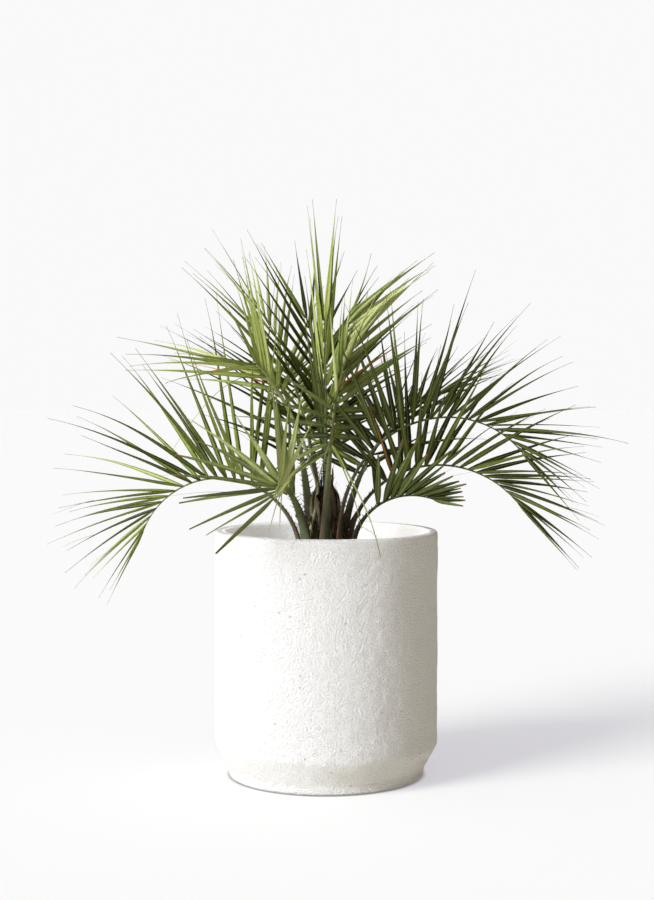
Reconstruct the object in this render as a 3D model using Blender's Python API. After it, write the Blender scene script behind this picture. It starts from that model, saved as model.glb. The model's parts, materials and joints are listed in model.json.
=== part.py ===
"""A jelly palm in a round planter: one object for each piece, in metres, +Z up.

The origin is the centre of the planter's base on the ground. +X is the viewer's right,
-Y is towards the viewer. Azimuths are in degrees: 0 is +X, 90 is +Y, 180 is -X, 270 is -Y.
"""
import math

import bmesh
import bpy
import numpy as np

# Planter, turned about Z.
POT_RADIUS = 0.160
POT_HEIGHT = 0.352
POT_WALL = 0.018
POT_FLOOR = 0.022
FOOT_RADIUS = 0.144
FOOT_HEIGHT = 0.016
CHAMFER_TOP = 0.047
INNER_CHAMFER_TOP = 0.055
INNER_FLOOR_RADIUS = 0.124
RIM_ROUND = 0.005
ROUND_SEGMENTS = 64
DRAIN_HOLES = 3
DRAIN_HOLE_RADIUS = 0.010
DRAIN_RING_RADIUS = 0.060

# What the planter holds, from the bottom up.
GAP = 0.0003
NET_RADIUS = 0.090
NET_THICKNESS = 0.0016
GRAVEL_TOP = 0.068
SOIL_TOP = 0.307
SIDE_GAP = 0.0005

# Stem: a root crown in the soil, a collar that carries the outer fronds, and a fibrous
# column that carries the inner ones.
CROWN_BOTTOM = 0.238
CROWN_RADIUS = 0.036
COLLAR_RADIUS = 0.052
COLLAR_TOP = 0.330
COLUMN_RADIUS = 0.022
COLUMN_TOP = 0.415
STEM_SEGMENTS = 28

# Leaflets. A blade is a folded strip, widest at its belly: ridge up, margins down.
BLADE_THICKNESS = 0.0014
BLADE_FOLD = 0.0008
BELLY_AT = 0.42
BLADE_STOPS = (0.0, 0.14, BELLY_AT, 1.0)
FOOT_SHARE = 0.42
ROOT_LENGTH = 0.0036
LAST_PAIR_AT = 0.985
SPREAD_AT = (0.0, 0.2, 0.5, 1.0)
TAPER_AT = (0.0, 0.15, 0.4, 0.75, 1.0)

# How much the leaflets differ from the rule: degrees, degrees, shares.
SPREAD_NOISE = 3.5
LIFT_NOISE = 8.0
LENGTH_NOISE = 0.07
DROOP_NOISE = 0.3
SEED = 100

# A leaflet that would meet another one is turned, or at last shortened, until it keeps clear.
CLEARANCE = 0.0012
SPREAD_TURNS = range(-24, 25, 4)
LIFT_TURNS = range(-40, 41, 5)
LEAST_SPREAD = 6.0
SHRINKS = (1.0, 0.8, 0.6, 0.4)
RIM_MARGIN = 0.004
PATH_STEPS = 60

# Each frond: where its foot stands (azimuth, radius, ring), how its stalk leaves and bends
# (heading from, to; elevation from, to; bend power; length), where its leaflets start along
# the stalk, how many pairs, their longest length and width, how they spread from the stalk
# (at SPREAD_AT, or at its own spread_at), how they lift on the right and on the left (foot,
# tip), how their length falls along the stalk (at TAPER_AT), their droop, how far each blade
# rolls about itself (right, left), and how far its spread may turn. spread_left and
# taper_left are the values of the left side where the two sides differ.
FRONDS = {
    "frond_left_low": dict(
        foot=(178, 0.038), ring="collar", heading=(178, 184), elevation=(80, -72), bend=1.0,
        length=0.31, first=0.33, pairs=17, leaf=0.31, width=0.0094, spread=(72, 66, 58, 16),
        lift_right=(66, 45), lift_left=(56, 40), taper=(0.97, 1.0, 0.82, 0.54, 0.34), droop=0.07),
    "frond_front_left": dict(
        foot=(228, 0.040), ring="collar", heading=(240, 268), elevation=(78, -28), bend=1.0,
        length=0.22, first=0.46, pairs=13, leaf=0.17, width=0.0100, spread=(95, 92, 88, 52),
        lift_right=(55, -28), lift_left=(108, 74), roll=(60, 60),
        taper=(0.85, 1.0, 0.95, 0.85, 0.65), droop=0.06),
    "frond_right_long": dict(
        foot=(302, 0.036), ring="collar", heading=(-8, 4), elevation=(92, -55), bend=1.2,
        length=0.398, first=0.38, pairs=19, leaf=0.248, width=0.0088, spread=(80, 71, 58, 14),
        lift_right=(58, 42), lift_left=(72, 54), taper=(0.68, 0.88, 0.93, 0.72, 0.42), droop=0.06),
    "frond_right_low": dict(
        foot=(6, 0.035), ring="collar", heading=(352, 350), elevation=(92, -52), bend=0.85,
        length=0.325, first=0.34, pairs=18, leaf=0.205, width=0.0098, spread=(88, 74, 54, 14),
        lift_right=(58, 30), lift_left=(68, 45), taper=(0.70, 0.95, 1.0, 0.80, 0.58), droop=0.07),
    "frond_right_cut": dict(
        foot=(336, 0.042), ring="collar", heading=(342, 352), elevation=(84, -22), bend=0.95,
        length=0.158, first=0.46, pairs=9, leaf=0.120, width=0.0110, spread=(52, 46, 38, 20),
        lift_right=(68, 50), lift_left=(76, 62), taper=(0.75, 0.95, 1.0, 0.8, 0.55), droop=0.02),
    "frond_front": dict(
        foot=(267, 0.036), ring="collar", heading=(310, 350), elevation=(87, 78), bend=1.2,
        length=0.335, first=0.41, pairs=18, leaf=0.215, width=0.0105,
        spread_at=(0, 0.30, 0.34, 0.46, 0.52, 1), spread=(128, 62, 16, 12, 44, 40),
        spread_left=(115, 70, 62, 55, 50, 36), lift_right=(60, -100), lift_left=(-6, -60), roll=(45, 0),
        taper=(0.42, 0.72, 0.80, 0.68, 0.55), taper_left=(0.30, 0.40, 0.80, 0.85, 0.68), droop=0.05),
    "frond_left_fan": dict(
        foot=(215, 0.0135), ring="column", heading=(186, 262), elevation=(72, 4), bend=2.0,
        length=0.240, first=0.62, pairs=10, leaf=0.205, width=0.0085, spread=(96, 82, 66, 34),
        lift_right=(22, -10), lift_left=(122, 84), roll=(75, 75), taper=(0.9, 1.0, 1.0, 0.95, 0.8), droop=0.09),
    "frond_left_tall": dict(
        foot=(150, 0.0140), ring="column", heading=(140, 146), elevation=(78, 56), bend=1.3,
        length=0.27, first=0.30, pairs=12, leaf=0.205, width=0.0090, spread=(66, 58, 46, 22),
        lift_right=(20, 12), lift_left=(10, 5), taper=(0.5, 0.6, 0.7, 0.75, 0.7),
        taper_left=(0.7, 0.9, 1.0, 0.9, 0.75), droop=0.04),
    "frond_back": dict(
        foot=(92, 0.0140), ring="column", heading=(98, 124), elevation=(86, 58), bend=1.3,
        length=0.26, first=0.30, pairs=11, leaf=0.19, width=0.0095, spread=(66, 54, 40, 14),
        lift_right=(20, 15), lift_left=(20, 15), taper=(0.7, 0.95, 1.0, 0.9, 0.7), droop=0.04),
    "frond_back_right": dict(
        foot=(48, 0.037), ring="collar", heading=(44, 30), elevation=(80, 16), bend=1.1,
        length=0.30, first=0.36, pairs=18, leaf=0.21, width=0.0095, spread=(80, 70, 55, 15),
        lift_right=(30, 20), lift_left=(30, 20), taper=(0.7, 0.95, 1.0, 0.8, 0.6), droop=0.07),
    "frond_back_left": dict(
        foot=(128, 0.036), ring="collar", heading=(112, 104), elevation=(82, 8), bend=1.2,
        length=0.36, first=0.35, pairs=13, leaf=0.22, width=0.0090, spread=(80, 70, 55, 15),
        lift_right=(30, 20), lift_left=(30, 20), taper=(0.7, 0.95, 1.0, 0.8, 0.6), droop=0.07),
    "frond_spear": dict(
        foot=(0, 0.0), ring="column", heading=(260, 260), elevation=(88, 87), bend=1.0,
        length=0.24, first=0.22, pairs=7, leaf=0.226, width=0.0042, spread=(30, 26, 19, 10),
        spread_left=(24, 20, 15, 9), lift_right=(20, 15), lift_left=(20, 15),
        taper=(0.92, 0.92, 0.88, 0.84, 0.80), droop=0.0),
}
# Which leaflets are cut blunt: (first pair, last pair, side, share of the length kept).
CUTS = {
    "frond_front_left": [(6, 12, 1, 0.90)],
    "frond_right_cut": [(0, 2, 1, 0.88), (3, 8, 1, 0.66), (0, 3, -1, 0.78), (4, 8, -1, 0.66)],
}
# Sizes of a stalk at its foot, where it narrows, at its first leaflet and at its tip.
STALK_WIDTHS = {
    "collar": (0.0190, 0.0130, 0.0080, 0.0022),
    "column": (0.0085, 0.0075, 0.0060, 0.0022),
}
STALK_HEIGHTS = {
    "collar": (0.0105, 0.0085, 0.0058, 0.0020),
    "column": (0.0062, 0.0056, 0.0046, 0.0020),
}
NARROWS_AT = 0.45
STALK_BASE_SHARE = 0.42
FOOT_RINGS = 5
STALK_STEPS = 20


def clear_scene():
    for old in list(bpy.data.objects):
        bpy.data.objects.remove(old, do_unlink=True)


def material(name, color, roughness, metallic=0.0):
    mat = bpy.data.materials.new(name)
    mat.use_nodes = True
    shader = mat.node_tree.nodes["Principled BSDF"]
    shader.inputs["Base Color"].default_value = (*color, 1.0)
    shader.inputs["Roughness"].default_value = roughness
    shader.inputs["Metallic"].default_value = metallic
    mat.diffuse_color = (*color, 1.0)
    return mat


def object_from(name, bm, mat, smooth_angle=None):
    bmesh.ops.recalc_face_normals(bm, faces=bm.faces[:])
    mesh = bpy.data.meshes.new(name)
    bm.to_mesh(mesh)
    bm.free()
    if smooth_angle is not None:
        mesh.shade_smooth()
        mesh.set_sharp_from_angle(angle=math.radians(smooth_angle))
    mesh.materials.append(mat)
    obj = bpy.data.objects.new(name, mesh)
    bpy.context.scene.collection.objects.link(obj)
    return obj


def turned(name, profile, segments, mat, smooth_angle=35):
    """A profile of (radius, height) points, whose ends lie on the axis, turned about Z."""
    bm = bmesh.new()
    rings = []
    for radius, height in profile:
        if radius == 0.0:
            rings.append([bm.verts.new((0.0, 0.0, height))])
            continue
        angles = [2 * math.pi * i / segments for i in range(segments)]
        rings.append([bm.verts.new((radius * math.cos(a), radius * math.sin(a), height)) for a in angles])
    for low, high in zip(rings[:-1], rings[1:]):
        for i in range(segments):
            j = i + 1
            corners = [low[i % len(low)], low[j % len(low)], high[j % len(high)], high[i % len(high)]]
            bm.faces.new(list(dict.fromkeys(corners)))
    return object_from(name, bm, mat, smooth_angle)


def round_over(radius_from, radius_to, height, size, steps=4):
    """The rim's section from its outer wall over the top to its inner wall."""
    points = []
    for i in range(steps + 1):
        a = math.pi / 2 * i / steps
        points.append((radius_from - size + size * math.cos(a), height - size + size * math.sin(a)))
    for i in range(steps + 1):
        a = math.pi / 2 * i / steps
        points.append((radius_to + size - size * math.sin(a), height - size + size * math.cos(a)))
    return points


def make_planter(mat):
    inner = POT_RADIUS - POT_WALL
    profile = [(0.0, 0.0), (FOOT_RADIUS, 0.0), (FOOT_RADIUS, FOOT_HEIGHT), (POT_RADIUS, CHAMFER_TOP)]
    profile += round_over(POT_RADIUS, inner, POT_HEIGHT, RIM_ROUND)
    profile += [(inner, INNER_CHAMFER_TOP), (INNER_FLOOR_RADIUS, POT_FLOOR), (0.0, POT_FLOOR)]
    planter = turned("planter", profile, ROUND_SEGMENTS, mat)
    for i in range(DRAIN_HOLES):
        angle = 2 * math.pi * (i + 0.25) / DRAIN_HOLES
        bm = bmesh.new()
        bmesh.ops.create_cone(bm, cap_ends=True, segments=16, radius1=DRAIN_HOLE_RADIUS,
                              radius2=DRAIN_HOLE_RADIUS, depth=3 * POT_FLOOR)
        place = (DRAIN_RING_RADIUS * math.cos(angle), DRAIN_RING_RADIUS * math.sin(angle), POT_FLOOR / 2)
        bmesh.ops.translate(bm, verts=bm.verts, vec=place)
        cutter = object_from(f"cutter_drain_{i}", bm, mat)
        cutter.hide_render = True
        cutter.display_type = "WIRE"
        cut = planter.modifiers.new(f"drain_{i}", "BOOLEAN")
        cut.operation = "DIFFERENCE"
        cut.solver = "EXACT"
        cut.object = cutter
    return planter


def inner_radius(height):
    """The planter's inner radius at a height, less the gap its filling keeps."""
    rise = (height - POT_FLOOR) / (INNER_CHAMFER_TOP - POT_FLOOR)
    radius = INNER_FLOOR_RADIUS + (POT_RADIUS - POT_WALL - INNER_FLOOR_RADIUS) * min(rise, 1.0)
    return radius - SIDE_GAP


def make_filling(net_mat, gravel_mat, soil_mat):
    net_low = POT_FLOOR + GAP
    net_top = net_low + NET_THICKNESS
    turned("drainage_net", [(0.0, net_low), (NET_RADIUS, net_low), (NET_RADIUS, net_top), (0.0, net_top)],
           ROUND_SEGMENTS, net_mat)
    low = net_top + GAP
    turned("drainage_gravel", [
        (0.0, low), (inner_radius(low) - 0.001, low), (inner_radius(INNER_CHAMFER_TOP), INNER_CHAMFER_TOP),
        (inner_radius(GRAVEL_TOP), GRAVEL_TOP), (0.0, GRAVEL_TOP)], ROUND_SEGMENTS, gravel_mat)
    low = GRAVEL_TOP + GAP
    socket = CROWN_RADIUS + SIDE_GAP
    side = inner_radius(SOIL_TOP)
    turned("potting_soil", [
        (0.0, low), (side, low), (side, SOIL_TOP - 0.004), (side - 0.010, SOIL_TOP - 0.001),
        (0.090, SOIL_TOP), (socket + 0.006, SOIL_TOP), (socket, SOIL_TOP - 0.002),
        (socket, CROWN_BOTTOM - GAP), (0.0, CROWN_BOTTOM - GAP)], ROUND_SEGMENTS, soil_mat, 60)


def make_stem(mat):
    profile = [
        (0.0, CROWN_BOTTOM), (CROWN_RADIUS, CROWN_BOTTOM), (CROWN_RADIUS, SOIL_TOP + 0.001),
        (COLLAR_RADIUS - 0.006, SOIL_TOP + 0.006), (COLLAR_RADIUS, SOIL_TOP + 0.014),
        (COLLAR_RADIUS, COLLAR_TOP - 0.003), (COLLAR_RADIUS - 0.003, COLLAR_TOP),
        (COLUMN_RADIUS + 0.003, COLLAR_TOP), (COLUMN_RADIUS, COLLAR_TOP + 0.010),
        (COLUMN_RADIUS + 0.001, COLLAR_TOP + 0.045), (COLUMN_RADIUS, COLUMN_TOP - 0.004),
        (COLUMN_RADIUS - 0.003, COLUMN_TOP), (0.0, COLUMN_TOP)]
    return turned("palm_stem", profile, STEM_SEGMENTS, mat, 50)


def unit(v):
    return v / np.linalg.norm(v, axis=-1, keepdims=True)


def stalk_path(spec):
    """Points and frames (along, right, up) of a stalk, at equal steps along it."""
    s = np.linspace(0.0, 1.0, PATH_STEPS + 1)
    low, high = spec["elevation"]
    start, end = spec["heading"]
    rise = np.radians(low + (high - low) * s ** spec["bend"])
    head = np.radians(start + (end - start) * s)
    along = np.stack([np.cos(rise) * np.cos(head), np.cos(rise) * np.sin(head), np.sin(rise)], axis=1)
    points = np.zeros((PATH_STEPS + 1, 3))
    points[1:] = np.cumsum((along[:-1] + along[1:]) / 2, axis=0) * spec["length"] / PATH_STEPS
    azimuth, radius = math.radians(spec["foot"][0]), spec["foot"][1]
    seat = (COLLAR_TOP if spec["ring"] == "collar" else COLUMN_TOP) + GAP
    points += np.array([radius * math.cos(azimuth), radius * math.sin(azimuth), seat])
    right = np.stack([np.sin(head), -np.cos(head), np.zeros_like(head)], axis=1)
    return s, points, along, right, np.cross(right, along)


def at(s, grid, values):
    return np.array([np.interp(s, grid, values[:, k]) for k in range(3)])


def stalk_size(spec, s):
    first = spec["first"]
    marks = (0.0, NARROWS_AT * first, first, 1.0)
    return (float(np.interp(s, marks, STALK_WIDTHS[spec["ring"]])),
            float(np.interp(s, marks, STALK_HEIGHTS[spec["ring"]])))


def half_widths(spec, share):
    """A leaflet's half width at its stops. Those near the ends of the stalk are narrower."""
    widest = spec["width"] / 2 * (0.75 + 0.25 * math.sin(math.pi * min(share + 0.3, 1.0)))
    return widest * np.interp(BLADE_STOPS, (0.0, BELLY_AT, 1.0), (FOOT_SHARE, 1.0, 0.0))


class Strips:
    """Flat strips that are already in place, as straight steps from a start to an end."""

    FIELDS = dict(start=(3,), end=(3,), half_start=(), half_end=(), flat=(3,), thick_start=(),
                  thick_end=(), owner=(), at_foot=())

    def __init__(self, **fields):
        for field, shape in self.FIELDS.items():
            setattr(self, field, fields.get(field, np.zeros((0,) + shape)))

    def add(self, points, half, flat, thick, owner, foot_steps):
        steps = len(points) - 1
        new = dict(start=points[:-1], end=points[1:], half_start=half[:-1], half_end=half[1:],
                   flat=np.broadcast_to(flat, (steps, 3)), thick_start=thick[:-1], thick_end=thick[1:],
                   owner=np.full(steps, owner), at_foot=np.arange(steps) < foot_steps)
        for field, values in new.items():
            setattr(self, field, np.concatenate([getattr(self, field), values]))

    def within(self, centre, reach):
        """The steps that come nearer to a point than reach."""
        middle = (self.start + self.end) / 2
        half_length = np.linalg.norm(self.end - self.start, axis=1) / 2
        near = np.linalg.norm(middle - centre, axis=1) < reach + half_length
        return Strips(**{field: getattr(self, field)[near] for field in self.FIELDS})

    def clearance(self, points, half, flat, thick, owner):
        """The least gap between a new strip and these, in metres.

        For each two steps it finds their nearest points, s and t along them, and takes from
        that distance how far each strip's oval section reaches towards the other.
        """
        if not len(self.start):
            return 1.0
        start, end = points[:-1, None], points[1:, None]
        step, other, between = end - start, self.end - self.start, start - self.start
        step_step = (step * step).sum(-1)
        other_other = (other * other).sum(-1)
        step_other = (step * other).sum(-1)
        step_between = (step * between).sum(-1)
        other_between = (other * between).sum(-1)
        spare = np.maximum(step_step * other_other - step_other ** 2, 1e-12)
        s = np.clip((step_other * other_between - step_between * other_other) / spare, 0, 1)
        t = np.clip((step_other * s + other_between) / np.maximum(other_other, 1e-12), 0, 1)
        s = np.clip((step_other * t - step_between) / np.maximum(step_step, 1e-12), 0, 1)
        apart = between + step * s[..., None] - other * t[..., None]
        distance = np.linalg.norm(apart, axis=-1)
        way = apart / np.maximum(distance, 1e-9)[..., None]

        def reach(half_start, half_end, thick_start, thick_end, share, across):
            wide = (half_start + (half_end - half_start) * share) ** 2
            deep = (thick_start + (thick_end - thick_start) * share) ** 2
            return np.sqrt(wide * across ** 2 + deep * (1 - across ** 2))

        gap = distance - reach(half[:-1, None], half[1:, None], thick[:-1, None], thick[1:, None],
                               s, (way * flat).sum(-1))
        gap -= reach(self.half_start, self.half_end, self.thick_start, self.thick_end,
                     t, (way * self.flat).sum(-1))
        first_step = np.arange(len(points) - 1)[:, None] < 1
        joined = (self.owner == owner) & ((self.at_foot > 0) | first_step)
        return float(np.where(joined, 1.0, gap).min())


def clear_of_pot(points, half):
    radius = np.hypot(points[:, 0], points[:, 1])
    inner, outer = POT_RADIUS - POT_WALL - RIM_MARGIN, POT_RADIUS + RIM_MARGIN + half
    near_rim = (points[:, 2] < POT_HEIGHT + RIM_MARGIN) & (radius > inner) & (radius < outer)
    in_soil = (points[:, 2] < SOIL_TOP + RIM_MARGIN) & (radius < POT_RADIUS)
    return not (near_rim | in_soil).any()


def leaflet_path(spec, root, frame, side, spread, lift, length, droop):
    """The middle line, width direction and upper face direction of one leaflet."""
    along, right, up = frame
    spread, lift, roll = (math.radians(v) for v in (spread, lift, spec.get("roll", (0, 0))[side < 0]))
    out = right * side * math.cos(lift) + up * math.sin(lift)
    way = along * math.cos(spread) + out * math.sin(spread)
    u = np.array(BLADE_STOPS)
    points = root + np.outer(u, way) * length
    points[:, 2] -= droop * length * u ** 2.2
    # The blade runs straight from its foot to its belly.
    points[1] = points[0] + (points[2] - points[0]) * u[1] / u[2]
    flat = unit(along - way * float(along @ way))
    face = np.cross(way, flat) * side
    rolled = flat * math.cos(roll) + face * math.sin(roll)
    return points, rolled, face * math.cos(roll) - flat * math.sin(roll)


# The smallest turns come first.
TURNS = sorted(((spread, lift) for spread in SPREAD_TURNS for lift in LIFT_TURNS),
               key=lambda turn: (abs(turn[0]) / 4 + abs(turn[1]) / 5, turn))


def natural_leaflet(spec, share, side, noise):
    """Spread, lift, length and droop of a leaflet, before any turn."""
    lifts = spec["lift_right"] if side > 0 else spec["lift_left"]
    spreads = spec["spread"] if side > 0 else spec.get("spread_left", spec["spread"])
    spread = float(np.interp(share, spec.get("spread_at", SPREAD_AT), spreads)) + SPREAD_NOISE * noise[0]
    lift = lifts[0] + (lifts[1] - lifts[0]) * share + LIFT_NOISE * noise[1]
    tapers = spec["taper"] if side > 0 else spec.get("taper_left", spec["taper"])
    length = spec["leaf"] * float(np.interp(share, TAPER_AT, tapers))
    return spread, lift, length * (1 + LENGTH_NOISE * noise[2]), spec["droop"] * (1 + DROOP_NOISE * noise[3])


def clear_leaflet(spec, strips, owner, root, frame, side, natural, half, thick):
    """The leaflet nearest to its natural direction and length that meets no other, or None."""
    spread, lift, length, droop = natural
    near = strips.within(root, length * (1 + droop) + 0.03)
    turns = [turn for turn in TURNS if abs(turn[0]) <= spec.get("most_turn", SPREAD_TURNS[-1])]
    for shrink in SHRINKS:
        for turn in turns:
            points, flat, face = leaflet_path(spec, root, frame, side, max(spread + turn[0], LEAST_SPREAD),
                                              lift + turn[1], length * shrink, droop)
            if not clear_of_pot(points, half):
                continue
            if near.clearance(points, half, flat, thick, owner) > CLEARANCE:
                return dict(points=points, flat=flat, face=face, moved=turn != (0, 0) or shrink < 1)
    return None


def place_leaflets(name, spec, owner, strips):
    """Every leaflet of a frond, in pairs from the lowest to the tip."""
    rng = np.random.default_rng(SEED + owner)
    grid, path, along, right, up = stalk_path(spec)
    leaflets = []
    for pair in range(spec["pairs"]):
        share = pair / (spec["pairs"] - 1)
        s = spec["first"] + (LAST_PAIR_AT - spec["first"]) * share
        centre = at(s, grid, path)
        frame = [unit(at(s, grid, way)) for way in (along, right, up)]
        width, height = stalk_size(spec, s)
        half = half_widths(spec, share)
        thick = np.interp(BLADE_STOPS, (0.0, BELLY_AT, 1.0), (height / 2, BLADE_THICKNESS, 0.0))
        for side in (1, -1):
            natural = natural_leaflet(spec, share, side, rng.normal(0.0, 1.0, 4))
            root = centre + frame[1] * side * width / 2
            leaf = clear_leaflet(spec, strips, owner, root, frame, side, natural, half, thick)
            if leaf is None:
                continue
            strips.add(leaf["points"], half, leaf["flat"], thick, owner, 1)
            kept = [share_kept for low, high, cut_side, share_kept in CUTS.get(name, [])
                    if low <= pair <= high and side == cut_side]
            leaflets.append(dict(leaf, s=s, side=side, half=half, keep=kept[0] if kept else 1.0))
    return leaflets


def make_frond(name, spec, leaflets, mat):
    grid, path, along_all, right_all, up_all = stalk_path(spec)
    roots = sorted({leaf["s"] for leaf in leaflets})
    half_root = ROOT_LENGTH / 2 / spec["length"]
    stops = list(np.linspace(0.0, spec["first"] - 2 * half_root, FOOT_RINGS + 1)[:-1])
    first_stop = {}
    for s in roots:
        first_stop[s] = len(stops)
        stops += [s - half_root, s + half_root]
    stops.append(1.0)
    bm = bmesh.new()
    rings = []
    for k, s in enumerate(stops):
        centre, along = at(s, grid, path), unit(at(s, grid, along_all))
        right, up = unit(at(s, grid, right_all)), unit(at(s, grid, up_all))
        width, height = stalk_size(spec, s)
        top, base = right * width / 2, right * width * STALK_BASE_SHARE
        corners = [centre + top + up * height / 2, centre + base - up * height / 2,
                   centre - base - up * height / 2, centre - top + up * height / 2]
        if k == 0:
            # The foot is cut level, so that it stands on its seat.
            corners = [c - along * (c[2] - centre[2]) / along[2] for c in corners]
        rings.append([bm.verts.new(c) for c in corners])
    blade_at = {(first_stop[leaf["s"]], leaf["side"]): leaf for leaf in leaflets}
    for k in range(len(rings) - 1):
        low, high = rings[k], rings[k + 1]
        for i in range(4):
            j = (i + 1) % 4
            side = {0: 1, 2: -1}.get(i)
            leaf = blade_at.get((k, side)) if side else None
            if leaf is None:
                bm.faces.new((low[i], low[j], high[j], high[i]))
                continue
            top_low, bottom_low, bottom_high, top_high = (
                (low[0], low[1], high[1], high[0]) if side > 0 else (low[3], low[2], high[2], high[3]))
            add_blade(bm, (bottom_low, top_low, top_high, bottom_high), leaf)
    bm.faces.new(rings[0])
    bm.faces.new(rings[-1])
    return object_from(name, bm, mat, 40)


def add_blade(bm, root, leaf):
    """Draws a leaflet out of a face of the stalk: to its belly, then to its tip or cut end."""
    ring = list(root)
    u = np.array(BLADE_STOPS)
    stops = [BELLY_AT] + ([leaf["keep"]] if leaf["keep"] < 1 else [])
    for stop in stops:
        centre = at(stop, u, leaf["points"])
        half = float(np.interp(stop, u, leaf["half"]))
        corners = (centre - leaf["flat"] * half,
                   centre + leaf["face"] * (BLADE_FOLD + BLADE_THICKNESS / 2),
                   centre + leaf["flat"] * half,
                   centre + leaf["face"] * (BLADE_FOLD - BLADE_THICKNESS / 2))
        new = [bm.verts.new(c) for c in corners]
        for i in range(4):
            j = (i + 1) % 4
            bm.faces.new((ring[i], ring[j], new[j], new[i]))
        ring = new
    if leaf["keep"] < 1:
        bm.faces.new(ring)
        return
    tip = bm.verts.new(leaf["points"][-1])
    for i in range(4):
        bm.faces.new((ring[i], ring[(i + 1) % 4], tip))


def place_stalks(strips):
    """Puts the column and every stalk in place, so that the leaflets keep clear of them."""
    column = np.array([[0.0, 0.0, COLLAR_TOP], [0.0, 0.0, COLUMN_TOP - 0.004]])
    around = np.full(2, COLUMN_RADIUS + 0.001)
    strips.add(column, around, np.array([0.0, 0.0, 1.0]), around, -1, 0)
    for owner, (name, spec) in enumerate(FRONDS.items()):
        grid, path, _, right, _ = stalk_path(spec)
        stops = np.linspace(0.0, 1.0, STALK_STEPS + 1)
        points = np.array([at(s, grid, path) for s in stops])
        sizes = np.array([stalk_size(spec, s) for s in stops]) / 2
        gap = strips.clearance(points[2:], sizes[2:, 0], right[0], sizes[2:, 1], owner)
        if gap < CLEARANCE:
            print(f"{name}: its stalk comes within {gap * 1000:.1f} mm of another")
        strips.add(points, sizes[:, 0], right[0], sizes[:, 1], owner, STALK_STEPS)


def main():
    clear_scene()
    stone = material("planter_stucco", (0.78, 0.76, 0.73), 0.85)
    net = material("black_net", (0.02, 0.02, 0.02), 0.6)
    gravel = material("pumice_gravel", (0.42, 0.36, 0.29), 0.95)
    soil = material("dark_soil", (0.06, 0.04, 0.028), 1.0)
    fibre = material("brown_fibre", (0.13, 0.075, 0.04), 0.9)
    leaf = material("palm_leaf", (0.15, 0.21, 0.06), 0.5)
    make_planter(stone)
    make_filling(net, gravel, soil)
    make_stem(fibre)
    strips = Strips()
    place_stalks(strips)
    for owner, (name, spec) in enumerate(FRONDS.items()):
        leaflets = place_leaflets(name, spec, owner, strips)
        moved = sum(placed["moved"] for placed in leaflets)
        print(f"{name}: {len(leaflets)} of {2 * spec['pairs']} leaflets, {moved} turned or shortened")
        make_frond(name, spec, leaflets, leaf)


main()
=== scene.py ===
# %% [markdown]
# # A jelly palm in a cast planter
#
# A jelly palm is a feather palm: each frond is a stalk with two rows of long folded leaflets.
# This one is young, so its stem is still a short column of brown fibre and old leaf bases, and
# it stands in a round planter of rough, off-white cast stone. The solids of the frame already
# say where each piece is. Here every piece gets its fine shape and its finish.

# %% The frame
import json
import math

import bpy
import numpy as np
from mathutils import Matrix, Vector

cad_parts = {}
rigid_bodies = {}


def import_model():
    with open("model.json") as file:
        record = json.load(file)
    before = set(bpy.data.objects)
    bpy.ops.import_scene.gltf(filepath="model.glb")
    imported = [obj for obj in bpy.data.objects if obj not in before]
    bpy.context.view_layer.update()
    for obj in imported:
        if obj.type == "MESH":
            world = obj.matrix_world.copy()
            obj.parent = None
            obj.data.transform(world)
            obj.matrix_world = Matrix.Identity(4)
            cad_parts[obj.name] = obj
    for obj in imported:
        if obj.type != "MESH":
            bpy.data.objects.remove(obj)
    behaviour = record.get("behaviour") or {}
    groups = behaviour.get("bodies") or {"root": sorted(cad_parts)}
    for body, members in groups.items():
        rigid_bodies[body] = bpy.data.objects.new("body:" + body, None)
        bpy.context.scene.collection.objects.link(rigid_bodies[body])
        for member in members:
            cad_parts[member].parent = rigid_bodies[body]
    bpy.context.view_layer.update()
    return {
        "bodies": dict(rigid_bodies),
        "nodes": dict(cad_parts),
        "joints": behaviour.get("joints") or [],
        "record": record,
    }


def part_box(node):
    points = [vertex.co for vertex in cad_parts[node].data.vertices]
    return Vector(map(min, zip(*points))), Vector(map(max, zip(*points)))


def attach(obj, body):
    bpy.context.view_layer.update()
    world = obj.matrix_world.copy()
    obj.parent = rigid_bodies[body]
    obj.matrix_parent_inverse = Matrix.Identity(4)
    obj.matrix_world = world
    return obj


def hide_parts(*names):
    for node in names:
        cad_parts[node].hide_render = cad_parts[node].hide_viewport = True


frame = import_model()
scene = bpy.context.scene

# %% [markdown]
# ## Camera
#
# The view is upright, so the sensor's 36 mm lie along its height. The camera stands 2.4 m in
# front of the plant, a little over half a metre up, and looks down by less than three degrees.
# From there the far rim of the planter shows as a thin ellipse above the near one.

# %% Camera
CAMERA_PLACE = (0.0015, -2.414, 0.5669)
CAMERA_TILT = math.radians(2.37)

camera_data = bpy.data.cameras.new("camera")
camera_data.lens = 67.37
camera_data.sensor_width = 36.0
camera_data.sensor_fit = "AUTO"
camera = bpy.data.objects.new("camera", camera_data)
camera.location = CAMERA_PLACE
camera.rotation_euler = (math.pi / 2 - CAMERA_TILT, 0.0, 0.0)
scene.collection.objects.link(camera)
scene.camera = camera
print("camera at", CAMERA_PLACE)

# %% [markdown]
# ## Nodes
#
# Every finish is a tree of nodes, and a small class keeps the trees short to write. Two effects
# come back in almost every finish, so each is a node group that is built once. *mottle* is soft
# patchy variation. *grain* is a bump of fine lumps with a few pits. A *trait* is a value that
# the mesh carries, such as the place along a leaflet.

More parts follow.
